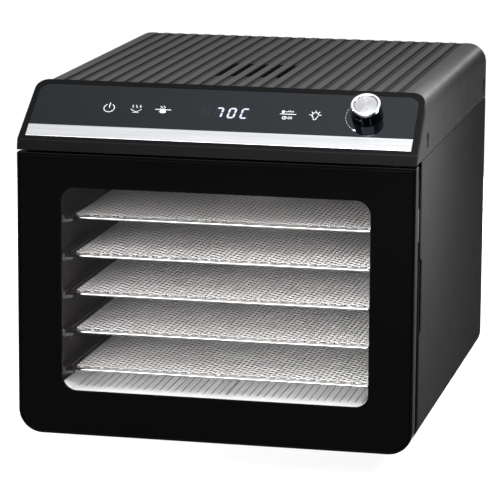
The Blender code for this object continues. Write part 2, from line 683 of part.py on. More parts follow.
def motor_and_fan():
    center = (0.0, 0.0, FAN_Z)
    pivot = (0.0, FAN_Y, FAN_Z)
    bracket_y = FAN_Y + 32.0
    motor_bracket(bracket_y)
    low = bracket_y + BRACKET_SHEET + GAP
    high = low + MOTOR_LONG
    bore_r, bore_end, ease = 3.4, low + 12.0, 3.0
    case = [(0.0, bore_end), (bore_r, bore_end), (bore_r, low), (MOTOR_R - ease, low), (MOTOR_R, low + ease),
            (MOTOR_R, high - ease), (MOTOR_R - ease, high), (0.0, high)]
    turned("fan_motor", case, center, (0, 1, 0), ZINC)
    plate, back, boss, boss_r = FAN_Y + 14.0, FAN_Y + FAN_DEPTH, FAN_Y + 20.0, 9.0
    wheel = [(0.0, FAN_Y), (boss_r, FAN_Y), (FAN_HUB_R, FAN_Y + 3.0), (FAN_HUB_R, plate), (FAN_R, plate),
             (FAN_R, back), (boss_r, back), (boss_r, boss), (0.0, boss)]
    blade = turned("fan_blade", wheel, center, (0, 1, 0), ZINC, segments=32, pivot=pivot)
    vane_half, vane_in, vane_out = 0.7, 9.5, 52.0
    vane_front, vane_back = FAN_Y + 1.0, plate + 0.8
    for index in range(FAN_VANES):
        turn = 2.0 * math.pi * (index + 0.5) / FAN_VANES
        along = Vector((math.cos(turn), 0.0, math.sin(turn)))
        across = Vector((-math.sin(turn), 0.0, math.cos(turn))) * vane_half
        section = [Vector(center) + along * reach + across * sign
                   for reach, sign in ((vane_in, -1), (vane_out, -1), (vane_out, 1), (vane_in, 1))]
        loops = [[corner + Vector((0.0, y, 0.0)) for corner in section] for y in (vane_front, vane_back)]
        cutter(blade, loft("vane_%d" % index, loops, ZINC), "UNION")
    shaft = disc("fan_shaft", 3.0, boss + GAP, bore_end - 2.0, center, (0, 1, 0), STAINLESS, segments=16,
                 pivot=pivot)
    attach("fan_axis", pivot, [blade, shaft], (0, 1, 0))


def thermal_cutout():
    flange_r, flange, body_r, tall = 9.0, 2.0, 6.5, 7.0
    profile = [(0.0, 0.0), (flange_r, 0.0), (flange_r, flange), (body_r, flange), (body_r, tall), (0.0, tall)]
    center = (60.0, BAFFLE_Y + CAVITY_SHEET + GAP, 206.0)
    turned("thermal_cutout", profile, center, (0, 1, 0), ZINC, segments=16)


# ---- door ----
DOOR_PIVOT = (HINGE_X, HINGE_Y, 0.0)


def door_frame():
    """Door shell with a seat for the pane; its window opening widens behind the pane's web."""
    half = WIDTH / 2.0
    top_r = DOOR_TOP_CORNER
    edge = 0.8
    seat = PANE_INSET - GAP
    seat_y = PANE_FRONT + PANE_THICK + GAP
    web = seat_y + 1.6
    wider = 5.0

    def outer(inset, upper_r, y):
        return upright_ring(half - inset, inset, DOOR_TOP - inset, DOOR_CORNER - inset, upper_r, y)

    def window(grow, y):
        return upright_ring(WINDOW_HALF + grow, WINDOW_LOW - grow, WINDOW_HIGH + grow, WINDOW_CORNER,
                            WINDOW_CORNER, y)
    loops = [outer(0.0, top_r, DOOR_THICK), outer(0.0, top_r, edge), outer(edge, top_r - edge, 0.0),
             outer(seat, 1.5, 0.0), outer(seat, 1.5, seat_y),
             window(0.0, seat_y), window(0.0, web), window(wider, web), window(wider, DOOR_THICK)]
    return loft("door_frame", loops, GLOSS_BLACK, closed=True, pivot=DOOR_PIVOT)


def door_gasket(back, front):
    outer = (153.0, 10.0, DOOR_TOP - 5.9, 12.0, 12.0)
    wide = 6.0
    inner = (outer[0] - wide, outer[1] + wide, outer[2] - wide, 8.0, 8.0)
    seal = [upright_ring(*outer, back), upright_ring(*outer, front),
            upright_ring(*inner, front), upright_ring(*inner, back)]
    return loft("door_gasket", seal, RUBBER, closed=True, pivot=DOOR_PIVOT)


def door():
    frame = door_frame()
    pane = rounded(WIDTH / 2.0 - PANE_INSET, PANE_INSET, DOOR_TOP - PANE_INSET, DOOR_CORNER - PANE_INSET, 1.3)
    glass = prism("door_glass", pane, "Y", PANE_FRONT, PANE_FRONT + PANE_THICK, DOOR_GLASS, pivot=DOOR_PIVOT)
    back = DOOR_THICK + GAP
    gasket = door_gasket(back, HINGE_Y - 0.5 - GAP)
    low_x, high_x, low_z, high_z = 161.5, 168.0, 174.0, 206.0
    strike_back = 17.8
    strike = box("door_strike", (low_x, back, low_z), (high_x, strike_back, high_z), ZINC, pivot=DOOR_PIVOT)
    box("catch_magnet", (low_x, strike_back + 0.5, low_z + 2.0), (high_x, WRAP_FRONT, high_z - 2.0), ZINC)
    leaves = [hinge(name, low) for name, low in HINGE_LOWS.items()]
    attach("door_axis", DOOR_PIVOT, [frame, glass, gasket, strike] + leaves)


def hinge(name, low):
    """One concealed hinge: a fixed knuckle and pin on the casing, and a leaf on the door."""
    upright = (0, 0, 1)
    middle = low + HINGE_HALF_TALL
    leaf_low = middle + GAP
    top = leaf_low + HINGE_HALF_TALL
    bracket = disc(name + "_hinge_bracket", KNUCKLE_R, low, middle, DOOR_PIVOT, upright, ZINC, segments=16)
    arm = box(name + "_bracket_arm", (HINGE_X - 1.4, HINGE_Y + 0.5, low), (HINGE_X + 2.5, WRAP_FRONT, middle),
              ZINC)
    cutter(bracket, arm, "UNION")
    leaf = disc(name + "_door_leaf", KNUCKLE_R, leaf_low, top, DOOR_PIVOT, upright, ZINC, segments=16,
                pivot=DOOR_PIVOT)
    tab_front, tab_sheet = DOOR_THICK + GAP, 1.4
    tab = box(name + "_leaf_tab", (HINGE_X - 2.5, tab_front, leaf_low),
              (HINGE_X + 11.0, tab_front + tab_sheet, top), ZINC)
    cutter(leaf, tab, "UNION")
    for target, tool in ((bracket, "_bracket_bore"), (leaf, "_leaf_bore")):
        bore = disc(name + tool, PIN_HOLE_R, low - 5.0, top + 5.0, DOOR_PIVOT, upright, ZINC, segments=16)
        cutter(target, bore)
    disc(name + "_hinge_pin", PIN_R, low, top, DOOR_PIVOT, upright, STAINLESS, segments=16)
    return leaf


# ---- knob ----
def knob():
    axis_foot = on_slope(KNOB_X, KNOB_UP, 0.0)
    pivot = tuple(axis_foot)
    options = {"segments": 40, "pivot": pivot}
    foot, bore_r, bore_top = 0.6, KNOB_SHAFT_R + 0.4, KNOB_SEAT - 1.6
    skirt = [(0.0, bore_top), (bore_r, bore_top), (bore_r, foot), (KNOB_SKIRT_R - 0.8, foot),
             (KNOB_SKIRT_R, foot + 0.8), (KNOB_SKIRT_R - 0.2, 4.0), (KNOB_RING_R - 0.4, KNOB_SEAT),
             (0.0, KNOB_SEAT)]
    skirt_part = turned("knob_body", skirt, axis_foot, SLOPE_OUT, GLOSS_BLACK, **options)
    low = KNOB_SEAT + GAP
    inner = KNOB_CAP_R + GAP
    ease = 0.5
    ring = [(inner, low), (KNOB_RING_R - ease, low), (KNOB_RING_R, low + ease),
            (KNOB_RING_R, KNOB_TALL - ease), (KNOB_RING_R - ease, KNOB_TALL), (inner + ease, KNOB_TALL),
            (inner, KNOB_TALL - ease)]
    ring_part = turned("knob_ring", ring, axis_foot, SLOPE_OUT, CHROME, **options)
    face = KNOB_TALL - 1.0
    cap = [(0.0, low), (KNOB_CAP_R, low), (KNOB_CAP_R, face - 0.2), (KNOB_CAP_R - 0.7, face + 0.2),
           (0.0, face)]
    cap_part = turned("knob_cap", cap, axis_foot, SLOPE_OUT, BRUSHED, **options)
    shaft = disc("knob_shaft", KNOB_SHAFT_R, foot, bore_top - GAP, axis_foot, SLOPE_OUT, ZINC, segments=16,
                 pivot=pivot)
    attach("knob_axis", pivot, [skirt_part, ring_part, cap_part, shaft], SLOPE_OUT)


# ---- trays ----
def tray(number):
    """A bent rim with a flat border, and the woven sheet that lies on the border."""
    bead, sheet, border = TRAY_BEAD, TRAY_SHEET, 10.0
    rim = [(0.0, -bead), (0.0, bead - 0.3), (0.5, bead), (1.6, bead), (2.4, sheet), (border, sheet),
           (border, -sheet), (2.2, -sheet), (1.8, -bead)]
    middle = TOP_TRAY_Z - (number - 1) * TRAY_PITCH
    pivot = (0.0, TRAY_FRONT, middle)
    loops = []
    for inset, height in rim:
        corner = max(TRAY_CORNER - inset, 4.0)
        plan = rounded(TRAY_HALF - inset, TRAY_FRONT + inset, TRAY_BACK - inset, corner, corner, 4)
        loops.append([(x, y, middle + height) for x, y in plan])
    frame = loft("tray_frame_%d" % number, loops, STAINLESS, closed=True, pivot=pivot)
    inset = MESH_INSET
    corner = TRAY_CORNER - inset
    plan = rounded(TRAY_HALF - inset, TRAY_FRONT + inset, TRAY_BACK - inset, corner, corner, 4)
    low = middle + sheet + GAP
    mesh = prism("tray_mesh_%d" % number, plan, "Z", low, low + 1.0, TRAY_MESH, pivot=pivot)
    attach("tray_%d_slide" % number, pivot, [frame, mesh])


def drip_tray():
    """Removable ribbed tray on the cavity floor, with flared side walls."""
    half = CAVITY_HALF - 2.0
    low = CAVITY_LOW + GAP
    wall = 1.2
    groove_half, groove_depth = 0.5, 0.6
    channel_half, channel_floor_half, channel_depth = 1.2, 0.7, 1.0
    top = DRIP_TRAY_Z + DRIP_WALL
    foot = half - wall - DRIP_FLARE
    right = [(half, top), (half - wall, top), (foot, DRIP_TRAY_Z)]
    count = int((foot - wall) / DRIP_PITCH)
    for index in range(count, 0, -1):
        x = index * DRIP_PITCH
        right += [(x + groove_half, DRIP_TRAY_Z), (x, DRIP_TRAY_Z - groove_depth)]
        right.append((x - groove_half, DRIP_TRAY_Z))
    right += [(channel_half, DRIP_TRAY_Z), (channel_floor_half, DRIP_TRAY_Z - channel_depth)]
    outline = right + [(-x, z) for x, z in reversed(right)]
    under = DRIP_TRAY_Z - DRIP_SHEET
    outline += [(-half, low), (-half + DRIP_SHEET, low), (-half + DRIP_SHEET, under)]
    outline += [(half - DRIP_SHEET, under), (half - DRIP_SHEET, low), (half, low)]
    pivot = (0.0, TRAY_FRONT, DRIP_TRAY_Z)
    made = prism("drip_tray", outline, "Y", TRAY_FRONT + 1.0, TRAY_BACK, DRIP_STEEL, pivot=pivot)
    attach("drip_tray_slide", pivot, [made])


clear_scene()
outer_wrap()
top_cover()
cover_screws()
control_bezel()
control_panel()
trim_strip()
control_electronics()
power_electronics()
front_frame()
rear_cover()
power_inlet()
feet()
racks()
cavity_ceiling()
cavity_shell()
fan_guard()
heater_ring()
motor_and_fan()
thermal_cutout()
door()
knob()
for tray_number in range(1, TRAY_COUNT + 1):
    tray(tray_number)
drip_tray()
bpy.context.view_layer.update()
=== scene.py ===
"""Looks of a countertop food dehydrator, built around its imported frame.

Lengths are millimetres in the design frame: x across, y backwards from the door's front face and
z up from the door's lower edge. Places come from the frame's own boxes wherever a box gives them.
"""
import json
import math

import bmesh
import bpy
from mathutils import Matrix, Vector

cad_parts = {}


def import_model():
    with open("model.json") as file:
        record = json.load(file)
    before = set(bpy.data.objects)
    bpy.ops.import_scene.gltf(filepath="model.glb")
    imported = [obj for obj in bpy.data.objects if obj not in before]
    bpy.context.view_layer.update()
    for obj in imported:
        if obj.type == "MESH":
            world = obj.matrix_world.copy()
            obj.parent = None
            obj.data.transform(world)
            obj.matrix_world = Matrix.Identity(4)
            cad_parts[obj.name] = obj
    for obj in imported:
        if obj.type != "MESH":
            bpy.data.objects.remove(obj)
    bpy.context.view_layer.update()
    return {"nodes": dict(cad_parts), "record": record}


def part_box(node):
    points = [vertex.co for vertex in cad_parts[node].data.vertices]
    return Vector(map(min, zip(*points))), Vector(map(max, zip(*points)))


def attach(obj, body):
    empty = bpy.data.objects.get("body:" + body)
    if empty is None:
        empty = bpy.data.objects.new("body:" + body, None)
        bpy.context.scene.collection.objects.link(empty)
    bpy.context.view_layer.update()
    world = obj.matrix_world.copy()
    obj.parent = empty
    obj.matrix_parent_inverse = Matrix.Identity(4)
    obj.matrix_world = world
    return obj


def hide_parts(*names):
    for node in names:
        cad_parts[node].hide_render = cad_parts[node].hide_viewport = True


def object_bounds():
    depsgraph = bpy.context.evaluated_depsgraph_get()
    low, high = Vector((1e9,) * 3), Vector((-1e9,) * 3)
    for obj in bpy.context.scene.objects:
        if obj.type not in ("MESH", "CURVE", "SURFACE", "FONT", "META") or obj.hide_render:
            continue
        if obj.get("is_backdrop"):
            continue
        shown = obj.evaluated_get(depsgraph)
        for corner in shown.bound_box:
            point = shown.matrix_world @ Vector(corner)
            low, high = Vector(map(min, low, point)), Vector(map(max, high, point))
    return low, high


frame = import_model()

MM = 0.001
UP = Vector((0.0, 0.0, 1.0))
ORIGIN = Vector((0.0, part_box("door_frame")[0].y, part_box("door_frame")[0].z))


def corners(node):
    """Lowest and highest corner of a CAD node, in design millimetres."""
    low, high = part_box(node)
    return (low - ORIGIN) / MM, (high - ORIGIN) / MM


# ---- driving dimensions (mm) ----
DOOR_HIGH = corners("door_frame")[1]
PANE_LOW, PANE_HIGH = corners("door_glass")
WRAP_LOW, WRAP_HIGH = corners("outer_wrap")
COVER_LOW, COVER_HIGH = corners("top_cover")
BEZEL_LOW, BEZEL_HIGH = corners("control_bezel")
PANEL_HIGH = corners("control_panel")[1]
DRIP_LOW, DRIP_HIGH = corners("drip_tray")
HALF = DOOR_HIGH.x
DEPTH = WRAP_HIGH.y

DOOR_CORNER = 20.5
DOOR_TOP_CORNER = 1.2
FACE_SHARE = 0.6               # share of the door's thickness that its outer shell takes up
WINDOW_HALF = 132.2
WINDOW_LOW = 37.8
WINDOW_HIGH = 213.6
WINDOW_CORNER = 12.5
WRAP_SHEET = 1.0
NOTCH_LOW = 94.0
NOTCH_HIGH = 162.0
NOTCH_DEPTH = 8.0
COVER_CORNER = 17.0
RIB_PITCH = 13.13
RIB_DEPTH = 1.4
RIM_WIDTH = 2.6                # the smooth border along the cover's front edge
GROOVES_EACH_SIDE = 11
VENT_FRONT = 131.0
VENT_BACK = 212.0
VENT_HALF = 2.9
VENT_CORNER = 0.4
SCREW_Z = 257.3
SCREW_SPOTS = (("front", 54.0), ("rear", 380.0))

SLOPE_FOOT = Vector((0.0, 1.64, 253.04))
SLOPE = math.radians(37.91)
SLOPE_UP = Vector((0.0, math.cos(SLOPE), math.sin(SLOPE)))
SLOPE_OUT = Vector((0.0, -math.sin(SLOPE), math.cos(SLOPE)))
SLOPE_LENGTH = 70.37
BEZEL_THICK = 3.6
LIP_THICK = 2.0
PANEL_FACE = -0.1              # height of the panel's face over the bezel's
PANEL_HALF = PANEL_HIGH.x
STRIP_SPAN = (4.6, 17.9)       # distances up the slope
PANEL_SPAN = (18.25, 65.0)
KNOB_X = 121.8
KNOB_UP = 43.2
DISPLAY_X = 3.0
DISPLAY_UP = 39.0

TRAY_COUNT = 5
TRAY_CORNER = 14.0
WEAVE_PITCH = 4.3
WIRE_RADIUS = 0.46
CROSS_CRIMP = 0.68             # how far the wires across rise and fall; the others take up the rest
DRIP_PITCH = 6.6
DRIP_FLOOR_Z = 30.0
DRIP_FLARE = 5.7               # how far the side walls lean out


def world(point):
    """Design millimetres to metres."""
    return ORIGIN + Vector(point) * MM


def on_slope(x, up, out):
    """A design point given across, up along and out of the sloped control panel."""
    return SLOPE_FOOT + Vector((x, 0.0, 0.0)) + SLOPE_UP * up + SLOPE_OUT * out


KNOB_FOOT = on_slope(KNOB_X, KNOB_UP, 0.0)


# ---- materials ----
TEXTURE_MIDDLE = (0.3, 0.7)    # the range that a noise texture's values mostly keep to


class Tree:
    """A node tree with short calls for what the finishes and the sky share."""

    def __init__(self, tree):
        self.tree = tree

    def add(self, kind, **settings):
        node = self.tree.nodes.new(kind)
        for name, value in settings.items():
            setattr(node, name, value)
        return node

    def link(self, source, target):
        self.tree.links.new(source, target)

    def ranged(self, source, start, end, low, high, interpolation="LINEAR"):
        """A value that runs from low to high while its source runs from start to end."""
        node = self.add("ShaderNodeMapRange", interpolation_type=interpolation)
        for socket, value in (("From Min", start), ("From Max", end), ("To Min", low), ("To Max", high)):
            node.inputs[socket].default_value = value
        self.link(source, node.inputs["Value"])
        return node.outputs["Result"]


class Nodes(Tree):
    """A material's node tree, with the textures that the finishes use."""

    def __init__(self, name, color, roughness, metallic=0.0, **uniform):
        self.material = bpy.data.materials.new(name)
        self.material.use_nodes = True
        super().__init__(self.material.node_tree)
        self.shader = self.tree.nodes["Principled BSDF"]
        self.shader.inputs["Base Color"].default_value = (*color, 1.0)
        self.shader.inputs["Roughness"].default_value = roughness
        self.shader.inputs["Metallic"].default_value = metallic
        for socket, value in uniform.items():
            self.shader.inputs[socket.replace("_", " ")].default_value = value
        self.place = self.add("ShaderNodeTexCoord").outputs["Object"]

    def stretched(self, scale, rotation=(0.0, 0.0, 0.0)):
        """Object coordinates, scaled by a different amount along each axis."""
        mapping = self.add("ShaderNodeMapping")
        mapping.inputs["Scale"].default_value = scale
        mapping.inputs["Rotation"].default_value = rotation
        self.link(self.place, mapping.inputs["Vector"])
        return mapping.outputs["Vector"]

    def noise(self, scale, detail=3.0, rough=0.55, vector=None):
        node = self.add("ShaderNodeTexNoise")
        node.inputs["Scale"].default_value = scale
        node.inputs["Detail"].default_value = detail
        node.inputs["Roughness"].default_value = rough
        self.link(vector or self.place, node.inputs["Vector"])
        return node.outputs["Fac"]

    def spread(self, source, low, high):
        """A texture's middle range stretched to run from low to high."""
        return self.ranged(source, *TEXTURE_MIDDLE, low, high)

    def tone(self, source, dark, light):
        """Base colour that runs between two colours with a texture."""
        ramp = self.add("ShaderNodeValToRGB")
        for stop, position, color in zip(ramp.color_ramp.elements, TEXTURE_MIDDLE, (dark, light)):
            stop.position = position
            stop.color = (*color, 1.0)
        self.link(source, ramp.inputs["Fac"])
        self.link(ramp.outputs["Color"], self.shader.inputs["Base Color"])

    def roughen(self, source, low, high):
        self.link(self.spread(source, low, high), self.shader.inputs["Roughness"])

    def bump(self, source, distance):
        """Raises the surface by up to distance millimetres."""
        node = self.add("ShaderNodeBump")
        node.inputs["Strength"].default_value = 1.0
        node.inputs["Distance"].default_value = distance * MM
        self.link(source, node.inputs["Height"])
        self.link(node.outputs["Normal"], self.shader.inputs["Normal"])


def scaled(color, factor):
    return tuple(part * factor for part in color)


def mottled(name, color, roughness, grain, grain_depth, metallic=0.0, spread=0.06, drift=0.03,
            specular=0.5, **uniform):
    """A moulded or coated finish: fine grain, slow drifts of tone, and gloss that varies a little."""
    nodes = Nodes(name, color, roughness, metallic, Specular_IOR_Level=specular, **uniform)
    slow = nodes.noise(14.0, 4.0)
    nodes.tone(slow, scaled(color, 1.0 - spread), scaled(color, 1.0 + spread))
    nodes.roughen(nodes.noise(45.0, 5.0), roughness - drift, roughness + drift)
    nodes.bump(nodes.noise(grain, 2.0), grain_depth)
    return nodes.material


def brushed(name, color, roughness, along):
    """Metal with long hairlines; along gives the scale of the noise along each axis."""
    nodes = Nodes(name, color, roughness, 1.0)
    lines = nodes.noise(1.0, 6.0, 0.7, nodes.stretched(along))
    nodes.tone(lines, scaled(color, 0.8), scaled(color, 1.0))
    nodes.roughen(lines, roughness - 0.05, roughness + 0.09)
    nodes.bump(lines, 0.012)
    return nodes.material


def polished(name, color, roughness):
    """A mirror-like metal with faint wipe marks."""
    nodes = Nodes(name, color, roughness, 1.0)
    wipes = nodes.noise(60.0, 5.0, 0.6, nodes.stretched((1.0, 0.25, 1.0), (0.0, 0.0, 0.6)))
    nodes.tone(nodes.noise(25.0), scaled(color, 0.97), color)
    nodes.roughen(wipes, roughness * 0.8, roughness * 1.5)
    return nodes.material


def cover_grain_and_side_shade():
    """Moulded grain on the ribbed top, with painted shade that darkens the shoulders and sides to the
    casing's tone.
    """
    top_color, shaded_side_color = (0.05, 0.05, 0.0505), (0.0125, 0.0125, 0.0127)
    shade_from, shade_to = HALF - 10.0, HALF - 0.5
    nodes = Nodes("cover_grain_and_side_shade", top_color, 0.4, 0.0, Specular_IOR_Level=0.04)
    split = nodes.add("ShaderNodeSeparateXYZ")
    nodes.link(nodes.place, split.inputs["Vector"])
    across = nodes.add("ShaderNodeMath", operation="ABSOLUTE")
    nodes.link(split.outputs["X"], across.inputs[0])
    # painted shade: the base colour darkens across the shoulders and down the sides
    side = nodes.ranged(across.outputs["Value"], shade_from * MM, shade_to * MM, 0.0, 1.0, "SMOOTHSTEP")
    side_shade_blend = nodes.add("ShaderNodeMix", data_type="RGBA")
    side_shade_blend.inputs["A"].default_value = (*top_color, 1.0)
    side_shade_blend.inputs["B"].default_value = (*shaded_side_color, 1.0)
    nodes.link(side, side_shade_blend.inputs["Factor"])
    nodes.link(side_shade_blend.outputs["Result"], nodes.shader.inputs["Base Color"])
    nodes.roughen(nodes.noise(45.0, 5.0), 0.37, 0.43)
    nodes.bump(nodes.noise(1100.0, 2.0), 0.01)
    return nodes.material


def clear_glass():
    nodes = Nodes("clear_glass", (0.02, 0.024, 0.023), 0.03, 0.0, Alpha=0.07)
    nodes.roughen(nodes.noise(30.0, 4.0), 0.02, 0.05)
    nodes.tone(nodes.noise(8.0), (0.015, 0.018, 0.017), (0.026, 0.03, 0.028))
    return nodes.material


def glowing(name, color, strength, dark=(0.02, 0.02, 0.03)):
    """A lit mark whose glow varies a little."""
    nodes = Nodes(name, dark, 0.4)
    nodes.shader.inputs["Emission Color"].default_value = (*color, 1.0)
    nodes.link(nodes.spread(nodes.noise(400.0), strength * 0.92, strength * 1.08),
               nodes.shader.inputs["Emission Strength"])
    return nodes.material


def board_finish():
    """Green solder mask with copper tracks just showing through it."""
    nodes = Nodes("board_mask", (0.012, 0.11, 0.045), 0.3)
    tracks = nodes.add("ShaderNodeTexVoronoi", distance="CHEBYCHEV", feature="DISTANCE_TO_EDGE")
    tracks.inputs["Scale"].default_value = 260.0
    nodes.link(nodes.place, tracks.inputs["Vector"])
    nodes.tone(tracks.outputs["Distance"], (0.02, 0.17, 0.07), (0.008, 0.085, 0.035))
    nodes.bump(tracks.outputs["Distance"], 0.03)
    return nodes.material


SMOKED = {"specular": 0.43, "Specular_Tint": (0.8, 0.9, 1.0, 1.0)}
FINISH = {
    "painted_casing": mottled("powder_coat", (0.015, 0.015, 0.0152), 0.6, 1500.0, 0.02, 0.0, 0.02,
                              specular=0.01),
    "cover_plastic": cover_grain_and_side_shade(),
    # darker copies of the cover's finish for the groove floors and walls: painted shade in the grooves
    "groove_floor_painted_shade": mottled("groove_grain_painted_shade", (0.026, 0.026, 0.0263), 0.5, 1100.0, 0.02, 0.0, 0.02,
                            specular=0.03),
    "groove_wall_painted_shade": mottled("groove_wall_painted_shade", (0.014, 0.014, 0.0141), 0.5, 1100.0, 0.02, 0.0, 0.02,
                           specular=0.03),
    # painted shade for the walls inside the vent slots
    "vent_wall_painted_shade": mottled("vent_wall_painted_shade", (0.006, 0.006, 0.0061), 0.5, 1100.0, 0.01, specular=0.03),
    "lip_black": mottled("lip_black", (0.0015, 0.0015, 0.0016), 0.3, 900.0, 0.01, specular=0.03),
    "black_plastic": mottled("satin_black", (0.0032, 0.0032, 0.0034), 0.35, 900.0, 0.012, specular=0.03),
    "gloss_black": mottled("piano_black", (0.0007, 0.0007, 0.00072), 0.1, 60.0, 0.002, specular=0.03),
    "door_side": mottled("satin_door_side", (0.011, 0.011, 0.0112), 0.5, 1500.0, 0.01, 0.0, 0.02,
                         specular=0.02),
    "black_chrome": polished("black_chrome", (0.08, 0.083, 0.09), 0.05),
    "printed_glass": mottled("printed_glass", (0.0007, 0.0007, 0.00072), 0.1, 60.0, 0.002, specular=0.03),
    "panel_glass": mottled("smoked_panel", (0.0005, 0.0007, 0.001), 0.07, 60.0, 0.002, **SMOKED),
    "door_glass": clear_glass(),
    "brushed_aluminium": brushed("hairline_aluminium", (0.8, 0.81, 0.84), 0.3, (6.0, 500.0, 500.0)),
    "spun_aluminium": polished("spun_aluminium", (0.62, 0.625, 0.64), 0.24),
    "chrome": polished("polished_chrome", (0.9, 0.91, 0.93), 0.07),
    "stainless_steel": polished("polished_stainless", (0.78, 0.775, 0.77), 0.16),
    # painted shade in the drip tray's grooves
    "drip_groove_painted_shade": mottled("tray_groove", (0.46, 0.46, 0.465), 0.5, 700.0, 0.008, 0.2),
    "runner_end": mottled("runner_end", (0.12, 0.118, 0.125), 0.45, 500.0, 0.01, 0.5),
    "tray_mesh": mottled("drawn_wire", (0.48, 0.465, 0.46), 0.33, 3000.0, 0.002, 0.6, 0.03, 0.01),
    "cavity_steel": mottled("cavity_steel", (0.055, 0.02, 0.042), 0.42, 500.0, 0.01, 0.9),
    "drip_tray_steel": mottled("satin_tray", (0.93, 0.935, 0.94), 0.4, 700.0, 0.008, 0.05, 0.02),
    "rubber": mottled("soft_rubber", (0.018, 0.018, 0.018), 0.75, 800.0, 0.03),
    "circuit_board": board_finish(),
    "zinc_steel": mottled("zinc_plate", (0.14, 0.143, 0.15), 0.4, 300.0, 0.006, 0.95, 0.12),
    "heater_sheath": mottled("heater_sheath", (0.1, 0.09, 0.08), 0.5, 400.0, 0.02, 0.7, 0.25),
    "lamp_lens": glowing("lamp_lens", (1.0, 0.95, 0.88), 3.0, (0.9, 0.88, 0.82)),
    "white_print": mottled("white_print", (0.42, 0.43, 0.45), 0.5, 900.0, 0.004),
    "lit_segment": glowing("lit_segment", (0.82, 0.8, 1.0), 1.1),
    "dark_segment": mottled("dark_segment", (0.003, 0.0034, 0.0042), 0.07, 60.0, 0.002, **SMOKED),
}


# ---- mesh tools: a shape is a pair of design points and faces ----
def arc(center, radius, start_deg, end_deg, steps):
    points = []
    for step in range(steps + 1):
        angle = math.radians(start_deg + (end_deg - start_deg) * step / steps)
        points.append((center[0] + radius * math.cos(angle), center[1] + radius * math.sin(angle)))
    return points


def mirrored(right):
    """A symmetric outline, from its right half."""
    return right + [(-x, other) for x, other in reversed(right)]


def rounded(half, low, high, lower_r, upper_r, steps=12):
    """A rounded rectangle, symmetric in its first coordinate, counted from the lower right."""
    lower = arc((half - lower_r, low + lower_r), lower_r, -90, 0, steps)
    return mirrored(lower + arc((half - upper_r, high - upper_r), upper_r, 0, 90, steps))


def filleted(outline, steps=4):
    """A closed outline of (a, b, radius) corners with each corner rounded to its radius."""
    points = []
    for index, (a, b, radius) in enumerate(outline):
        if radius == 0.0:
            points.append((a, b))
            continue
        corner = Vector((a, b))
        before = (Vector(outline[index - 1][:2]) - corner).normalized()
        after = (Vector(outline[(index + 1) % len(outline)][:2]) - corner).normalized()
        half_angle = before.angle(after) / 2.0
        center = corner + (before + after).normalized() * (radius / math.sin(half_angle))
        start = corner + before * (radius / math.tan(half_angle)) - center
        end = corner + after * (radius / math.tan(half_angle)) - center
        for step in range(steps + 1):
            points.append(tuple(center + start.lerp(end, step / steps).normalized() * radius))
    return points


def place(axis, along, first, second):
    spot = [first, second]
    spot.insert("XYZ".index(axis), along)
    return tuple(spot)


def loft(loops, closed=False):
    """Loops of equal length joined in order; capped at both ends, or closed on itself."""
    count = len(loops[0])
    points = [point for loop in loops for point in loop]
    faces = []
    for span in range(len(loops) if closed else len(loops) - 1):
        near = span * count
        far = ((span + 1) % len(loops)) * count
        for index in range(count):
            nxt = (index + 1) % count
            faces.append((near + index, near + nxt, far + nxt, far + index))
    if not closed:
        faces.append(tuple(range(count)))
        faces.append(tuple(range((len(loops) - 1) * count, len(loops) * count)))
    return points, faces


def prism(outline, axis, low, high):
    return loft([[place(axis, along, a, b) for a, b in outline] for along in (low, high)])


def rectangle(left, low, right, high):
    return [(left, low), (right, low), (right, high), (left, high)]


def block(low, high):
    return prism(rectangle(low[0], low[2], high[0], high[2]), "Y", low[1], high[1])


def slope_round(radius, low, high):
    """A round post on the knob's axis."""
    return turned([(0.0, low), (radius, low), (radius, high), (0.0, high)], KNOB_FOOT, SLOPE_OUT, 48)


def slope_prism(outline, low, high):
    """An outline in the plane of the control panel, given thickness."""
    return loft([[on_slope(x, up, out) for x, up in outline] for out in (low, high)])


def turned(profile, center, direction, segments):
    """A profile of (radius, height) pairs spun about an axis; it starts and ends on the axis."""
    turn = UP.rotation_difference(Vector(direction)).to_matrix()
    points = []
    rings = []
    for radius, height in profile:
        ring = arc((0.0, 0.0), radius, 0, 360, segments)[:-1] if radius else [(0.0, 0.0)]
        rings.append(list(range(len(points), len(points) + len(ring))))
        points += [Vector(center) + turn @ Vector((x, y, height)) for x, y in ring]
    if profile[0][0] != 0.0:
        rings.append(rings[0])
    faces = []
    for near, far in zip(rings, rings[1:]):
        for step in range(segments):
            nxt = (step + 1) % segments
            if len(near) == 1:
                faces.append((near[0], far[nxt], far[step]))
            elif len(far) == 1:
                faces.append((near[step], near[nxt], far[0]))
            else:
                faces.append((near[step], near[nxt], far[nxt], far[step]))
    return points, faces


def joined(*shapes):
    points = []
    faces = []
    for shape_points, shape_faces in shapes:
        base = len(points)
        points += shape_points
        faces += [tuple(base + index for index in face) for face in shape_faces]
    return points, faces


def stroke(path, width):
    """Outline of a line of constant width along an open path, with round ends."""
    spots = [Vector(spot) for spot in path]
    left = []
    right = []
    for index, spot in enumerate(spots):
        ahead = (spots[min(index + 1, len(spots) - 1)] - spots[max(index - 1, 0)]).normalized()
        across = Vector((-ahead.y, ahead.x)) * (width / 2.0)
        left.append(tuple(spot + across))
        right.append(tuple(spot - across))

    def cap(spot, toward):
        start = math.degrees(math.atan2(toward[1] - spot.y, toward[0] - spot.x))
        return arc(spot, width / 2.0, start, start - 180.0, 6)[1:-1]
    return left + cap(spots[-1], left[-1]) + right[::-1] + cap(spots[0], right[0])


# ---- pieces ----
SLOT_OF_NODE = {row["node"]: row["material_slot"] for row in frame["record"]["subparts"]}
BODY_OF_NODE = {node: body for body, members in frame["record"]["behaviour"]["bodies"].items()
                for node in members}


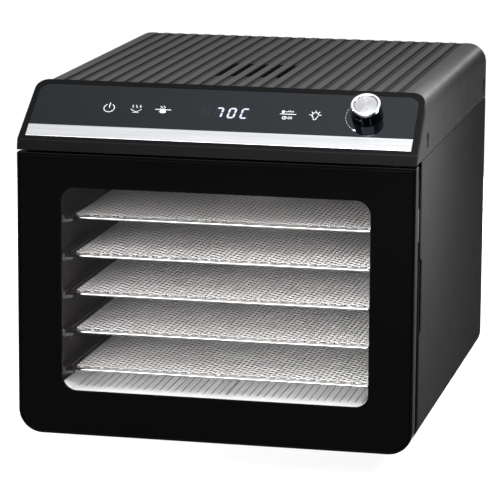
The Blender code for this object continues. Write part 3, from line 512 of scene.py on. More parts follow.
def bare(name, shape, finish):
    """A mesh object from a shape, not yet a piece of the visible model."""
    points, faces = shape
    mesh = bpy.data.meshes.new(name)
    mesh.from_pydata([world(point) for point in points], [], faces)
    bm = bmesh.new()
    bm.from_mesh(mesh)
    bmesh.ops.recalc_face_normals(bm, faces=bm.faces)
    bm.to_mesh(mesh)
    bm.free()
    mesh.materials.append(FINISH[finish])
    made = bpy.data.objects.new(name, mesh)
    bpy.context.scene.collection.objects.link(made)
    return made


def shade(made, angle=35.0):
    made.data.shade_smooth()
    made.data.set_sharp_from_angle(angle=math.radians(angle))


def flatten_shading(made):
    """Normals weighted by area, so that a large flat face beside a small round stays flat."""
    modifier = made.modifiers.new("Normals", "WEIGHTED_NORMAL")
    modifier.keep_sharp = True
    modifier.weight = 50
    apply_modifiers(made)


def show(made, body, finish, *replaced):
    """The piece rides on a body and stands for the replaced nodes; its finish is not used."""
    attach(made, body)
    if replaced:
        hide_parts(*replaced)


def apply_modifiers(made):
    """Turns the modifiers' result into the mesh itself."""
    graph = bpy.context.evaluated_depsgraph_get()
    mesh = bpy.data.meshes.new_from_object(made.evaluated_get(graph))
    made.modifiers.clear()
    made.data = mesh


def carve(made, shapes, operation="DIFFERENCE"):
    """Booleans with each shape in turn."""
    tools = [bare("tool_%d" % index, shape, "rubber") for index, shape in enumerate(shapes)]
    for tool in tools:
        modifier = made.modifiers.new(tool.name, "BOOLEAN")
        modifier.operation = operation
        modifier.object = tool
        modifier.solver = "EXACT"
        modifier.material_mode = "INDEX"
    apply_modifiers(made)
    for tool in tools:
        bpy.data.objects.remove(tool, do_unlink=True)


def merge_flat_faces(made):
    bm = bmesh.new()
    bm.from_mesh(made.data)
    bmesh.ops.remove_doubles(bm, verts=bm.verts, dist=0.000005)
    bmesh.ops.dissolve_limit(bm, angle_limit=math.radians(0.2), verts=bm.verts, edges=bm.edges,
                             delimit={"MATERIAL"})
    bm.to_mesh(made.data)
    bm.free()


def ease_edges(made, width, segments=2, angle=35.0):
    """Small round on every edge that turns more than the angle."""
    merge_flat_faces(made)
    modifier = made.modifiers.new("Bevel", "BEVEL")
    modifier.width = width * MM
    modifier.segments = segments
    modifier.limit_method = "ANGLE"
    modifier.angle_limit = math.radians(angle)
    modifier.use_clamp_overlap = True
    apply_modifiers(made)
    shade(made, angle)


def build(name, shape, finish, body, *replaced, cuts=(), edge=0.0, segments=2, angle=35.0, flatten=True):
    """A visible piece: a shape, less its cuts, with eased edges."""
    made = bare(name, shape, finish)
    if cuts:
        carve(made, cuts)
    if edge:
        ease_edges(made, edge, segments, angle)
    else:
        shade(made, angle)
    if flatten:
        flatten_shading(made)
    show(made, body, finish, *replaced)
    return made


def refined(node, edge, segments=2):
    """A copy of a CAD node with eased edges, which stands for the node."""
    finish = SLOT_OF_NODE[node]
    made = bpy.data.objects.new("fine_" + node, frame["nodes"][node].data.copy())
    bpy.context.scene.collection.objects.link(made)
    made.data.materials.clear()
    made.data.materials.append(FINISH[finish])
    ease_edges(made, edge, segments)
    flatten_shading(made)
    show(made, BODY_OF_NODE[node], finish, node)
    return made


def paint(mesh, finish, wanted):
    """Gives a second finish to the faces that the test picks by their middle, in design millimetres."""
    mesh.materials.append(FINISH[finish])
    for polygon in mesh.polygons:
        if wanted((polygon.center - ORIGIN) / MM):
            polygon.material_index = len(mesh.materials) - 1


# ---- casing ----
def casing_wrap():
    """Sides and bottom bent from one sheet, with a finger notch in the right front edge."""
    bend = (HALF - DOOR_CORNER, DOOR_CORNER)
    front, top = WRAP_LOW.y, WRAP_HIGH.z
    outer = mirrored([(HALF, top)] + arc(bend, DOOR_CORNER, 0, -90, 20))
    inner = mirrored([(HALF - WRAP_SHEET, top)] + arc(bend, DOOR_CORNER - WRAP_SHEET, 0, -90, 20))
    floor, ramp, beyond = front + NOTCH_DEPTH, 4.0, 5.0
    notch = filleted([(front - beyond, NOTCH_LOW - beyond, 0.0), (front, NOTCH_LOW, 2.0),
                      (floor, NOTCH_LOW + ramp, 3.0), (floor, NOTCH_HIGH - ramp, 3.0),
                      (front, NOTCH_HIGH, 2.0), (front - beyond, NOTCH_HIGH + beyond, 0.0)], 6)
    build("casing_wrap", prism(outer + inner[::-1], "Y", front, DEPTH), "painted_casing", "casing",
          "outer_wrap", cuts=[prism(notch, "X", HALF - beyond, HALF + beyond)], edge=0.3)


def rib_profile(share=1.0):
    """Points across the ribbed top, from right to left, with soft groove walls."""
    points = []
    mouth, floor_half, wall_steps = 3.15, 2.75, 3
    for index in range(GROOVES_EACH_SIDE, -GROOVES_EACH_SIDE - 1, -1):
        middle = index * RIB_PITCH
        wall = []
        for step in range(wall_steps + 1):
            t = step / wall_steps
            drop = RIB_DEPTH * share * t * t * (3.0 - 2.0 * t)
            wall.append((mouth + (floor_half - mouth) * t, COVER_HIGH.z - drop))
        points += [(middle + x, z) for x, z in wall]
        points += [(middle - x, z) for x, z in reversed(wall)]
    return points


def shrunk(outline, inset):
    """A closed outline moved inwards along its own normals."""
    spots = [Vector(spot) for spot in outline]
    moved = []
    for index, spot in enumerate(spots):
        ahead = spots[(index + 1) % len(spots)] - spots[index - 1]
        across = Vector((-ahead.y, ahead.x)).normalized()
        moved.append(tuple(spot + across * inset))
    return moved


def slope_back(z, offset):
    """y of the plane lying offset millimetres behind the sloped panel, at height z."""
    rise = (z - SLOPE_FOOT.z) * math.cos(SLOPE)
    return SLOPE_FOOT.y + (rise + offset) / math.sin(SLOPE)


def cover_outline(share=1.0):
    """Section across the cover: ribbed top, round shoulders, sides, and the hollow under it."""
    low, top = COVER_LOW.z, COVER_HIGH.z
    skirt = HALF - 5.0
    ceiling = top - 4.0
    inner_r = 12.0
    side = [(HALF, low)] + arc((HALF - COVER_CORNER, top - COVER_CORNER), COVER_CORNER, 0, 90, 20)
    outer = side + rib_profile(share) + mirrored(side)[len(side):]
    hollow = [(skirt, low)] + arc((skirt - inner_r, ceiling - inner_r), inner_r, 0, 90, 10)
    return outer + mirrored(hollow)[::-1]


def ribbed_cover():
    top = COVER_HIGH.z
    edge, rim_step, rear_fade = 0.8, 0.4, 7.0
    slot_depth, recess_radius, recess_depth, bore = 8.0, 6.8, 3.2, 2.2
    groove_floor = top - RIB_DEPTH
    plain, full, worn = cover_outline(0.0), cover_outline(), cover_outline(0.6)

    def front_y(z):
        return max(COVER_LOW.y, slope_back(z, BEZEL_THICK + 0.3))
    loops = []
    for inset, back in arc((edge, edge), edge, 270.0, 180.0, 3):
        loops.append([(x, front_y(z) + back, z) for x, z in shrunk(plain, inset)])
    loops.append([(x, front_y(z) + RIM_WIDTH, z) for x, z in plain])
    loops.append([(x, front_y(z) + RIM_WIDTH + rim_step, z) for x, z in full])
    loops.append([(x, DEPTH - rear_fade, z) for x, z in full])
    loops.append([(x, DEPTH - 1.0, z) for x, z in worn])
    loops.append([(x, DEPTH - 0.3, z) for x, z in shrunk(worn, 0.3)])
    loops.append([(x, DEPTH, z) for x, z in shrunk(worn, 0.8)])
    cuts = []
    for index in range(-2, 3):
        middle = index * RIB_PITCH
        left, right = middle - VENT_HALF, middle + VENT_HALF
        slot = filleted([(x, y, VENT_CORNER) for x, y in rectangle(left, VENT_FRONT, right, VENT_BACK)])
        cuts.append(prism(slot, "Z", top - slot_depth, top + 5.0))
    recess = [(0.0, 6.0), (recess_radius, 6.0), (recess_radius, -recess_depth), (bore, -recess_depth),
              (bore, -9.0), (0.0, -9.0)]
    for side in (-1, 1):
        for spot, y in SCREW_SPOTS:
            cuts.append(turned(recess, (side * HALF, y, SCREW_Z), (side, 0, 0), 48))
    made = build("ribbed_cover", loft(loops), "cover_plastic", "casing", "top_cover", cuts=cuts)
    within = (GROOVES_EACH_SIDE + 0.5) * RIB_PITCH
    # painted shade: darker finishes on the groove floors and on the groove walls
    paint(made.data, "groove_floor_painted_shade",
          lambda spot: abs(spot.z - groove_floor) < 0.1 and abs(spot.x) < within)
    paint(made.data, "groove_wall_painted_shade",
          lambda spot: groove_floor + 0.1 < spot.z < top - 0.1 and abs(spot.x) < within)
    # painted shade: the walls of the vent slots get a near-black finish
    paint(made.data, "vent_wall_painted_shade",
          lambda spot: spot.z < groove_floor - 0.2 and abs(spot.x) < 3.0 * RIB_PITCH and
          VENT_FRONT - 1.0 < spot.y < VENT_BACK + 1.0)


def vent_shade_sheet():
    """Dark plate a little below the vent slots: painted shade, a dark sheet that keeps the slots black
    inside.
    """
    overlap, thick = 5.0, 1.0
    reach, low = 2.5 * RIB_PITCH + 2.0, COVER_HIGH.z - 6.4
    plate = block((-reach, VENT_FRONT - overlap, low), (reach, VENT_BACK + overlap, low + thick))
    build("vent_shade_sheet", plate, "black_plastic", "casing", edge=0.3)


def cover_screws():
    """Pan-head screws with a cross recess, deep in the round side recesses."""
    head = [(0.0, -1.3), (1.6, -1.35), (2.9, -1.7), (3.6, -2.2), (3.8, -2.9), (1.9, -2.9),
            (1.9, -12.0), (0.0, -12.0)]
    for side in (-1, 1):
        for spot, y in SCREW_SPOTS:
            name = "cover_screw_%s_%s" % (spot, "left" if side < 0 else "right")
            center = Vector((side * HALF, y, SCREW_Z))
            cross = []
            for wide, tall in ((0.45, 2.2), (2.2, 0.45)):
                cross.append(block((center.x - side * 1.5 - 1.0, y - wide, SCREW_Z - tall),
                                   (center.x - side * 1.5 + 1.0, y + wide, SCREW_Z + tall)))
            build("fine_" + name, turned(head, center, (side, 0, 0), 40), "zinc_steel", "casing", name,
                  cuts=cross)


def slope_outline(half_low, half_high, low, high, corner):
    """Outline in the panel plane with rounded upper corners, and sides that lean in."""
    steps = 14
    lean = (half_low - half_high) / (high - low)
    points = [(half_low, low)]
    right = arc((half_high - corner, high - corner), corner, 0, 90, steps)
    points += [(x + lean * corner * (1.0 - step / steps), up) for step, (x, up) in enumerate(right)]
    return mirrored(points)


def panel_bezel():
    back_y = BEZEL_LOW.y + LIP_THICK
    foot = BEZEL_LOW.z
    crease = SLOPE_FOOT.z + ((back_y - SLOPE_FOOT.y) * math.sin(SLOPE) - BEZEL_THICK) / math.cos(SLOPE)
    top_front = on_slope(0.0, SLOPE_LENGTH + 8.0, 0.0)
    top_back = on_slope(0.0, SLOPE_LENGTH + 8.0, -BEZEL_THICK)
    outline = filleted([(BEZEL_LOW.y, foot, 0.0), (SLOPE_FOOT.y, SLOPE_FOOT.z, 2.4),
                        (top_front.y, top_front.z, 0.0), (top_back.y, top_back.z, 0.0),
                        (back_y, crease, 0.0), (back_y, foot, 0.0)], 6)
    half = BEZEL_HIGH.x
    made = bare("panel_bezel", prism(outline, "X", -half, half), "black_plastic")
    gap, beyond = 0.3, 40.0
    rim = slope_outline(half + 1.0, half - 2.5, -30.0, SLOPE_LENGTH, 11.0)
    carve(made, [slope_prism(rim, -beyond, beyond)], "INTERSECT")
    pocket = slope_outline(PANEL_HALF + gap, PANEL_HALF - 0.5, STRIP_SPAN[0] - gap, PANEL_SPAN[1] + gap, 9.8)
    wide, tall = 30.0, 11.0
    window = rectangle(DISPLAY_X - wide, DISPLAY_UP - tall, DISPLAY_X + wide, DISPLAY_UP + tall)
    carve(made, [slope_prism(pocket, -2.2, 10.0), slope_prism(window, -12.0, 6.0),
                 slope_round(5.0, -12.0, 6.0)])
    ease_edges(made, 0.6, 3)
    flatten_shading(made)
    paint(made.data, "lip_black", lambda spot: spot.z < SLOPE_FOOT.z - 0.5 and spot.y < BEZEL_LOW.y + 1.0)
    show(made, "casing", "black_plastic", "control_bezel")


def panel_and_strip():
    outline = slope_outline(PANEL_HALF, PANEL_HALF - 0.8, PANEL_SPAN[0], PANEL_SPAN[1], 9.5)
    build("smoked_panel", slope_prism(outline, -1.9, PANEL_FACE), "panel_glass", "casing", "control_panel",
          cuts=[slope_round(4.2, -6.0, 4.0)], edge=0.25)
    outline = rectangle(-PANEL_HALF, STRIP_SPAN[0], PANEL_HALF, STRIP_SPAN[1])
    build("brushed_strip", slope_prism(outline, -1.9, 0.0), "brushed_aluminium", "casing", "trim_strip",
          edge=0.35, segments=3)


# ---- marks printed on the panel ----
PRINT_LOW = PANEL_FACE
PRINT_HIGH = PANEL_FACE + 0.06
KEY_LINE = 0.48
KEY_UP = 40.0


def printed(name, outlines, finish="white_print"):
    shape = joined(*[slope_prism(outline, PRINT_LOW, PRINT_HIGH) for outline in outlines])
    build(name, shape, finish, "casing")


def power_symbol(x, up):
    ring = stroke(arc((x, up), 4.5, 122.0, 418.0, 36), 0.62)
    stem = stroke([(x, up + 5.9), (x, up + 0.3)], 0.62)
    printed("power_symbol", [ring, stem])


def warmth_symbol(x, up):
    """Three wisps of warm air over a shallow dish."""
    outlines = []
    for index in range(-1, 2):
        wisp = [(x + index * 3.2 + 0.55 * math.sin(step * math.pi / 4.0), up + 0.9 + step * 0.36)
                for step in range(9)]
        outlines.append(stroke(wisp, KEY_LINE))
    dish = [(x - 4.6, up - 0.9)] + arc((x, up + 1.2), 4.6, -140.0, -40.0, 12) + [(x + 4.6, up - 0.9)]
    outlines.append(stroke(dish, KEY_LINE))
    outlines.append(stroke([(x - 2.6, up - 4.6), (x + 2.6, up - 4.6)], KEY_LINE))
    printed("warmth_symbol", outlines)


def divider(name, x, up, half):
    printed(name, [stroke([(x - half, up), (x + half, up)], 0.7)])


def speed_symbol(x, up):
    """A double arrow over a leaf."""
    outlines = []
    for start in (-2.9, -0.2):
        outlines.append(stroke([(x + start, up + 3.9), (x + start + 1.9, up + 2.4), (x + start, up + 0.9)],
                               KEY_LINE))
    upper = arc((x, up - 4.2), 3.6, 155.0, 40.0, 8)
    lower = arc((x, up - 0.7), 3.6, -155.0, -40.0, 8)
    outlines.append(upper + lower[::-1])
    printed("speed_symbol", outlines)
    divider("speed_divider", x, up - 0.2, 6.6)


def gauge_symbol(x, up):
    """A thermometer over a clock."""
    stem = stroke([(x - 4.0, up + 3.0), (x + 4.6, up + 3.0)], KEY_LINE)
    bulb = arc((x - 4.4, up + 3.0), 1.35, 0.0, 360.0, 28)[:-1]
    ticks = [stroke([(x + step, up + 3.0), (x + step, up + 4.2)], 0.55) for step in (0.0, 1.8, 3.6)]
    face = stroke(arc((x - 2.6, up - 3.9), 1.6, 0.0, 352.0, 28), 0.6)
    hand = stroke([(x - 2.6, up - 3.0), (x - 2.6, up - 3.9), (x - 1.9, up - 3.9)], 0.5)
    bars = [stroke([(x + 0.4, up - 3.9 + lift), (x + 3.9, up - 3.9 + lift)], 0.6) for lift in (-0.9, 0.9)]
    printed("gauge_symbol", [stem, bulb, face, hand] + ticks + bars)
    divider("gauge_divider", x, up + 0.4, 6.6)


def lamp_symbol(x, up):
    glass = arc((x, up + 0.6), 2.7, -8.0, 188.0, 16) + arc((x, up - 4.1), 0.85, 205.0, 335.0, 8)
    outlines = [stroke(glass + glass[:1], 0.65)]
    for angle in (0.0, 45.0, 90.0, 135.0, 180.0):
        way = Vector((math.cos(math.radians(angle)), math.sin(math.radians(angle))))
        near = Vector((x, up + 0.6)) + way * 3.0
        outlines.append(stroke([tuple(near), tuple(near + way * 1.9)], 0.65))
    printed("lamp_symbol", outlines)


def dial_arc(x, up, radius):
    """A dashed arc beside the knob, with an arrow at its lower end."""
    start, end, dashes = 150.0, 240.0, 10
    outlines = []
    step = (end - start) / dashes
    for index in range(dashes):
        low = start + index * step
        outlines.append(stroke(arc((x, up), radius, low, low + step * 0.42, 4), 0.3))
    tail, tip = arc((x, up), radius, end - 3.0, end + 5.0, 1)
    ahead = (Vector(tip) - Vector(tail)).normalized()
    across = Vector((-ahead.y, ahead.x)) * 1.1
    outlines.append([tip, tuple(Vector(tail) + across), tuple(Vector(tail) - across)])
    printed("dial_arc", outlines)


DIGIT_WIDE = 5.2               # between the centre lines of the upright bars
DIGIT_TALL = 10.3
DIGIT_PITCH = 11.0
DIGIT_SLANT = 0.115
DIGIT_STROKE = 1.65
DIGIT_LOW = 33.9
SEGMENT_ENDS = {"a": ((0, 2), (1, 2)), "b": ((1, 2), (1, 1)), "c": ((1, 1), (1, 0)), "d": ((0, 0), (1, 0)),
                "e": ((0, 0), (0, 1)), "f": ((0, 1), (0, 2)), "g": ((0, 1), (1, 1))}
READING = (("blank", ""), ("seven", "abc"), ("zero", "abcdef"), ("degree_letter", "adef"))


def segment_bar(left, ends):
    """One bar of a slanted seven-segment figure, with pointed ends and a small gap at each."""
    spots = [Vector((column * DIGIT_WIDE, row * DIGIT_TALL / 2.0)) for column, row in ends]
    ahead = (spots[1] - spots[0]).normalized()
    across = Vector((-ahead.y, ahead.x)) * (DIGIT_STROKE / 2.0)
    gap, point = 0.16, DIGIT_STROKE * 0.42
    start, end = spots[0] + ahead * gap, spots[1] - ahead * gap
    outline = [start, start + ahead * point - across, end - ahead * point - across,
               end, end - ahead * point + across, start + ahead * point + across]
    return [(left + spot.x + spot.y * DIGIT_SLANT, DIGIT_LOW + spot.y) for spot in outline]


def reading():
    """The lit temperature, and the unlit bars that show faintly around it."""
    for index, (name, lit) in enumerate(READING):
        left = DISPLAY_X - 20.5 + index * DIGIT_PITCH
        if lit:
            printed("digit_" + name, [segment_bar(left, SEGMENT_ENDS[key]) for key in lit], "lit_segment")
        dark = [key for key in SEGMENT_ENDS if key not in lit]
        if dark:
            printed("unlit_" + name, [segment_bar(left, SEGMENT_ENDS[key]) for key in dark], "dark_segment")


# ---- knob ----
SKIRT_RADIUS = 13.3
RING_RADIUS = 12.6
CAP_RADIUS = 9.7
KNOB_TALL = 13.1


def knob():
    """A gloss skirt, a thin shadow gap, a thin bright ring and a spun cap sunk a little into it."""
    def part(name, profile, finish, node, **shading):
        build(name, turned(profile, KNOB_FOOT, SLOPE_OUT, 128), finish, "knob", node, **shading)
    ring_low = KNOB_TALL - 1.5
    gap = 0.7
    edge = 0.8
    shoulder = ring_low - gap
    bore, foot, well = 3.4, 0.6, KNOB_TALL - 4.4
    well_radius = RING_RADIUS - 1.9
    skirt = [(0.0, well), (bore, well), (bore, foot), (SKIRT_RADIUS - 0.3, foot), (SKIRT_RADIUS, foot + 0.3)]
    skirt += arc((RING_RADIUS - edge, shoulder - edge), edge, 0.0, 90.0, 6)
    skirt += [(well_radius, shoulder), (well_radius, well), (0.0, well + 0.1)]
    part("glossy_skirt", skirt, "black_chrome", "knob_body")
    ring = [(CAP_RADIUS + 0.35, ring_low), (RING_RADIUS - 0.3, ring_low), (RING_RADIUS, ring_low + 0.3)]
    ring += arc((RING_RADIUS - 0.8, KNOB_TALL - 0.8), 0.8, 0.0, 90.0, 10)
    ring += arc((CAP_RADIUS + 0.85, KNOB_TALL - 0.5), 0.5, 90.0, 180.0, 6)
    part("polished_ring", ring, "chrome", "knob_ring")
    level = KNOB_TALL - 0.55
    cap_foot = KNOB_TALL - 4.1
    face = [(0.0, cap_foot), (CAP_RADIUS, cap_foot), (CAP_RADIUS, level - 0.4)]
    face += arc((CAP_RADIUS - 0.4, level - 0.4), 0.4, 20.0, 90.0, 4)
    grooves, groove_height = 40, 0.05
    for index in range(grooves, 0, -1):
        face.append(((CAP_RADIUS - 0.6) * index / grooves, level + groove_height * (index % 2)))
    face.append((0.0, level))
    part("spun_face", face, "spun_aluminium", "knob_cap", angle=8.0, flatten=False)


# ---- door ----
def door():
    """A moulded frame, narrower behind its outer shell, and a pane printed black outside its window."""
    edge = 0.9
    pane_inset = HALF - PANE_HIGH.x
    seat = pane_inset - 0.3
    seat_y = PANE_HIGH.y + 0.3
    web = seat_y + 1.6
    thick = DOOR_HIGH.y
    split = thick * FACE_SHARE
    rebate, window_step, chamfer = 0.7, 5.0, 0.4

    def ring(half, low, high, lower_r, upper_r, y):
        return [(x, y, z) for x, z in rounded(half, low, high, lower_r, upper_r)]

    def outer(inset, y):
        return ring(HALF - inset, inset, DOOR_HIGH.z - inset, DOOR_CORNER - inset,
                    max(DOOR_TOP_CORNER - inset, 0.3), y)

    def window(grow, y):
        return ring(WINDOW_HALF + grow, WINDOW_LOW - grow, WINDOW_HIGH + grow, WINDOW_CORNER,
                    WINDOW_CORNER, y)
    loops = [outer(rebate + 0.5, thick), outer(rebate, thick - 0.5), outer(rebate, split + 0.3)]
    loops += [outer(0.2, split), outer(0.0, split - 0.2)]
    loops += [outer(inset, y) for inset, y in arc((edge, edge), edge, 180.0, 270.0, 5)]
    loops += [outer(seat - 0.35, 0.0), outer(seat - 0.1, 0.12), outer(seat, 0.4), outer(seat, seat_y)]
    loops += [window(0.0, seat_y), window(0.0, web), window(window_step - chamfer, web)]
    loops += [window(window_step, web + chamfer), window(window_step, thick - chamfer)]
    loops += [window(window_step + chamfer, thick)]
    made = build("glossy_door", loft(loops, closed=True), "gloss_black", "door", "door_frame")
    paint(made.data, "door_side", lambda spot: abs(spot.x) > HALF - 0.3 and spot.y < split)

    def pane_ring(inset, y):
        return ring(PANE_HIGH.x - inset, PANE_LOW.z + inset, PANE_HIGH.z - inset,
                    DOOR_CORNER - pane_inset - inset, 1.3 - inset, y)
    front, back, ease = PANE_LOW.y, PANE_HIGH.y, 0.45
    loops = [window(0.0, back), pane_ring(ease, back), pane_ring(0.0, back - ease),
             pane_ring(0.0, front + ease), pane_ring(ease * 0.3, front + ease * 0.3),
             pane_ring(ease, front), window(0.0, front)]
    made = build("door_pane", loft(loops), "door_glass", "door", "door_glass")
    paint(made.data, "printed_glass", lambda spot: abs(spot.x) > WINDOW_HALF - 1.0 or
          not WINDOW_LOW + 1.0 < spot.z < WINDOW_HIGH - 1.0)


# ---- trays ----
def tray_plan(inset, front, back, half):
    radius = max(TRAY_CORNER - inset, 3.0)
    return rounded(half - inset, front + inset, back - inset, radius, radius, 10)


def tray_rim(number):
    """A round bead with a flat border inside it, bent from one strip."""
    node = "tray_frame_%d" % number
    low, high = corners(node)
    middle = (low.z + high.z) / 2.0
    bead, sheet, border = (high.z - low.z) / 2.0, 0.4, 10.0
    meet = math.degrees(math.asin(sheet / bead))
    profile = [(border, -sheet)] + arc((bead, 0.0), bead, -meet, -360.0 + meet, 18) + [(border, sheet)]
    loops = []
    for inset, height in profile:
        loops.append([(x, y, middle + height) for x, y in tray_plan(inset, low.y, high.y, high.x)])
    build("fine_" + node, loft(loops, closed=True), "stainless_steel", "tray_%d" % number, node)


def wire(path):
    """A round wire along a path of design points, all in one upright plane."""
    side = (Vector(path[-1]) - Vector(path[0])).normalized().cross(UP)
    section = arc((0.0, 0.0), WIRE_RADIUS, 0, 360, 6)[:-1]
    return loft([[Vector(spot) + side * out + UP * rise for out, rise in section] for spot in path])


def woven_mesh(number):
    """Plain-woven wires in two directions that pass over and under each other."""
    node = "tray_mesh_%d" % number
    low, high = corners(node)
    inset = 0.3
    middle = low.z + 0.7
    along_crimp = WIRE_RADIUS * 2.04 - CROSS_CRIMP
    radius = TRAY_CORNER - 6.0 - inset
    center_y = (low.y + high.y) / 2.0
    half_wide, half_deep = high.x - inset, high.y - inset - center_y
    columns, rows = int(half_wide / WEAVE_PITCH), int(half_deep / WEAVE_PITCH)

    def reach(offset, limit, other_limit):
        """How far a wire at an offset runs before the rounded corner cuts it off."""
        past = abs(offset) - (limit - radius)
        if past <= 0.0:
            return other_limit
        return other_limit - radius + math.sqrt(max(radius * radius - past * past, 0.0))

    def crossing(column, row, crimp):
        rise = crimp * (-1) ** (row + column)
        return (column * WEAVE_PITCH, center_y + row * WEAVE_PITCH, middle + rise)
    wires = []
    for row in range(-rows, rows + 1):
        run = int(reach(row * WEAVE_PITCH, half_deep, half_wide) / WEAVE_PITCH)
        wires.append(wire([crossing(column, row, CROSS_CRIMP) for column in range(-run, run + 1)]))
    for column in range(-columns, columns + 1):
        run = int(reach(column * WEAVE_PITCH, half_wide, half_deep) / WEAVE_PITCH)
        wires.append(wire([crossing(column, row, -along_crimp) for row in range(-run, run + 1)]))
    build("woven_mesh_%d" % number, joined(*wires), "tray_mesh", "tray_%d" % number, node, angle=80.0,
          flatten=False)


def drip_tray():
    """Ribbed tray with flared side walls; its grooves fade out before the flat front border."""
    half, low, top, floor_z = DRIP_HIGH.x, DRIP_LOW.z, DRIP_HIGH.z, DRIP_FLOOR_Z
    front, back = DRIP_LOW.y, DRIP_HIGH.y
    fade_from, fade_to = front + 15.0, front + 23.0
    groove_half, groove_bottom, groove_depth = 0.5, 0.3, 1.1
    channel_half, channel_depth = 1.3, 1.3
    wall, sheet, skirt, ease = 1.2, 1.8, 1.0, 0.3
    foot = half - wall - DRIP_FLARE
    slope = (top - floor_z) / DRIP_FLARE
    count = int((half - 4.0) / DRIP_PITCH)

    def height(x):
        return floor_z + max(x - foot, 0.0) * slope

    def section(share):
        right = [(half, top - ease), (half - ease, top), (half - wall + ease, top),
                 (half - wall - 0.1, top - 0.2)]
        for index in range(count, 0, -1):
            x = index * DRIP_PITCH
            if x < foot < x + DRIP_PITCH:
                right.append((foot, floor_z))
            right += [(x + groove_half, height(x + groove_half)),
                      (x + groove_bottom, height(x + groove_bottom) - groove_depth * share),
                      (x - groove_bottom, height(x - groove_bottom) - groove_depth * share),
                      (x - groove_half, height(x - groove_half))]
        right += [(channel_half, floor_z), (channel_half - 0.5, floor_z - channel_depth * share)]
        under = floor_z - sheet
        return mirrored(right) + [(-half, low), (-half + skirt, low), (-half + skirt, under),
                                  (half - skirt, under), (half - skirt, low), (half, low)]
    stations = [(front, 0.0), (fade_from, 0.0)]
    for step in range(1, 5):
        stations.append((fade_from + (fade_to - fade_from) * step / 4.0, step / 4.0))
    stations += [(back - 8.0, 1.0), (back - 5.0, 0.0), (back, 0.0)]
    loops = [[(x, y, z) for x, z in section(share)] for y, share in stations]
    made = build("ribbed_drip_tray", loft(loops), "drip_tray_steel", "drip_tray", "drip_tray", angle=30.0)
    # painted shade: the faces inside the drip tray's grooves get a darker finish
    paint(made.data, "drip_groove_painted_shade", lambda spot: fade_to < spot.y < back - 6.0 and
          spot.z < height(abs(spot.x)) - 0.3 and spot.z > floor_z - 1.5)


# ---- the rest of the casing ----
def feet():
    for node in [name for name in frame["nodes"] if name.startswith("foot_")]:
        low, high = corners(node)
        center = ((low.x + high.x) / 2.0, (low.y + high.y) / 2.0, low.z)
        radius, tall = (high.x - low.x) / 2.0, high.z - low.z
        profile = [(0.0, 0.4), (4.0, 0.4), (4.6, 0.0)] + [(radius - 1.9, 0.0)]
        profile += arc((radius - 1.2, 1.2), 1.2, -90.0, 0.0, 5)[1:] + [(radius, tall), (0.0, tall)]
        build("fine_" + node, turned(profile, center, (0, 0, 1), 64), "rubber", "casing", node)


def eased_frame_parts():
    for node in ("front_frame", "rear_cover", "rear_baffle", "cavity_floor", "cavity_ceiling", "left_rack",
                 "right_rack", "power_inlet", "motor_bracket", "door_strike", "catch_magnet",
                 "display_module"):
        made = refined(node, 0.25)
        if node.endswith("_rack"):
            front = corners(node)[0].y
            paint(made.data, "runner_end", lambda spot, front=front: spot.y < front + 0.1)
    refined("door_gasket", 0.8, 3)


casing_wrap()
ribbed_cover()
vent_shade_sheet()
cover_screws()
panel_bezel()
panel_and_strip()
power_symbol(-98.3, 39.4)
warmth_symbol(-74.8, KEY_UP)
speed_symbol(-51.5, KEY_UP)
gauge_symbol(55.4, KEY_UP)
lamp_symbol(78.5, KEY_UP)
dial_arc(123.3, 41.6, 19.1)
reading()
knob()
door()
for tray in range(1, TRAY_COUNT + 1):
    tray_rim(tray)
    woven_mesh(tray)
drip_tray()
feet()
eased_frame_parts()

# every CAD node that still shows gets its finish
for node, obj in frame["nodes"].items():
    for slot_index in range(len(obj.material_slots)):
        obj.material_slots[slot_index].material = FINISH[SLOT_OF_NODE[node]]


# ---- studio ----
def studio_floor():
    """A pale sheet whose glow is mostly for the camera, so that it hardly lights the casing from below."""
    made = bare("studio_floor", block((-9000.0, -7000.0, -30.0), (9000.0, 9000.0, 0.0)), "rubber")
    made.location.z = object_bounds()[0][2] - ORIGIN.z
    glow_seen, glow_cast = 0.85, 0.12
    nodes = Nodes("studio_paper", (0.18, 0.18, 0.18), 0.9, Specular_IOR_Level=0.1)
    nodes.tone(nodes.noise(0.7), (0.175, 0.175, 0.175), (0.185, 0.185, 0.185))
    nodes.shader.inputs["Emission Color"].default_value = (1.0, 1.0, 1.0, 1.0)
    seen = nodes.add("ShaderNodeLightPath").outputs["Is Camera Ray"]
    nodes.link(nodes.ranged(seen, 0.0, 1.0, glow_cast, glow_seen), nodes.shader.inputs["Emission Strength"])
    made.data.materials[0] = nodes.material
    made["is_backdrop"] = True


def softbox(name, spot, aim, wide, tall, power, spread=180.0):
    """A rectangular lamp at a spot, in metres, turned towards its aim; spread is in degrees."""
    light = bpy.data.lights.new(name, "AREA")
    light.shape = "RECTANGLE"
    light.size = wide
    light.size_y = tall
    light.energy = power
    light.spread = math.radians(spread)
    made = bpy.data.objects.new(name, light)
    made.location = spot
    made.rotation_euler = (Vector(aim) - Vector(spot)).to_track_quat("-Z", "Y").to_euler()
    bpy.context.scene.collection.objects.link(made)


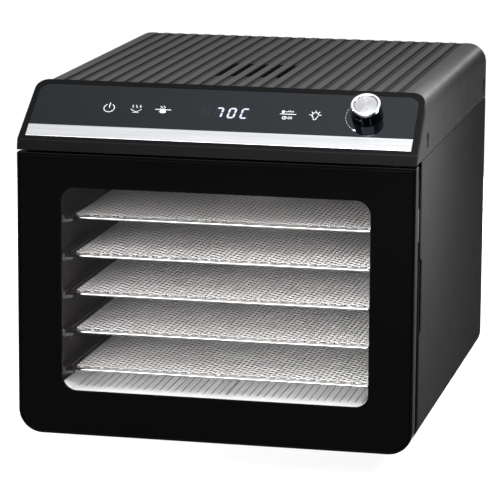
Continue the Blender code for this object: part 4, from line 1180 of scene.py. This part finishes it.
def sky():
    """A soft ceiling that fades to the left, over a surround that dims downwards; the backdrop is pale."""
    scene = bpy.context.scene
    scene.world = bpy.data.worlds.new("studio_world")
    scene.world.use_nodes = True
    nodes = Tree(scene.world.node_tree)
    back = nodes.tree.nodes["Background"]
    split = nodes.add("ShaderNodeSeparateXYZ")
    nodes.link(nodes.add("ShaderNodeTexCoord").outputs["Generated"], split.inputs["Vector"])

    def ramp(axis, start, end, low, high):
        return nodes.ranged(split.outputs[axis], start, end, low, high, "SMOOTHSTEP")

    def combine(operation, first, second):
        node = nodes.add("ShaderNodeMath", operation=operation)
        nodes.link(first, node.inputs[0])
        nodes.link(second, node.inputs[1])
        return node.outputs["Value"]
    overhead = ramp("Z", 0.55, 0.8, 0.0, 1.0)
    leftward = ramp("X", -0.33, -0.14, 0.3, 0.95)
    surround = ramp("Z", 0.1, 0.5, 0.15, 0.35)
    light = combine("ADD", combine("MULTIPLY", overhead, leftward), surround)
    seen = nodes.add("ShaderNodeLightPath").outputs["Is Camera Ray"]
    nodes.link(combine("MAXIMUM", light, seen), back.inputs["Strength"])
    back.inputs["Color"].default_value = (1.0, 1.0, 1.0, 1.0)
    scene.view_settings.view_transform = "Standard"


CAMERA_SPOT = (0.558469, -2.585938, 0.665504)
CAMERA_YAW, CAMERA_PITCH, CAMERA_ROLL = 0.21727, -0.19742, -0.00638
CAMERA_LENS = 216.58


def camera():
    scene = bpy.context.scene
    lens = bpy.data.cameras.new("camera")
    lens.sensor_width = 36.0
    lens.lens = CAMERA_LENS
    lens.clip_end = 100.0
    made = bpy.data.objects.new("camera", lens)
    turn = Matrix.Rotation(CAMERA_YAW, 3, "Z") @ Matrix.Rotation(CAMERA_PITCH, 3, "X")
    turn = turn @ Matrix.Rotation(CAMERA_ROLL, 3, "Y")
    right, ahead, up = turn.col[0], turn.col[1], turn.col[2]
    made.matrix_world = (Matrix.Translation(CAMERA_SPOT) @
                         Matrix((right, up, -ahead)).transposed().to_4x4())
    scene.collection.objects.link(made)
    scene.camera = made


studio_floor()
sky()
softbox("front_key", (0.2, -1.9, 1.3), (0.0, 0.1, 0.1), 0.8, 0.5, 40.0)
softbox("front_fill", (0.1, -1.5, 1.0), (0.0, 0.0, 0.1), 1.6, 1.5, 54.0)
softbox("side_key", (0.42, -0.225, 0.33), (0.17, -0.15, 0.25), 0.14, 0.1, 2.5, 120.0)
softbox("left_fill", (-1.3, 0.05, 0.15), (-0.17, 0.05, 0.15), 0.5, 0.24, 55.0)
softbox("rear_fill", (-0.2, 1.3, 0.15), (-0.05, 0.2, 0.15), 0.36, 0.24, 55.0)
softbox("rim_light", (0.5, 3.0, 0.8), (0.15, 0.1, 0.3), 0.2, 0.2, 3.0)
camera()
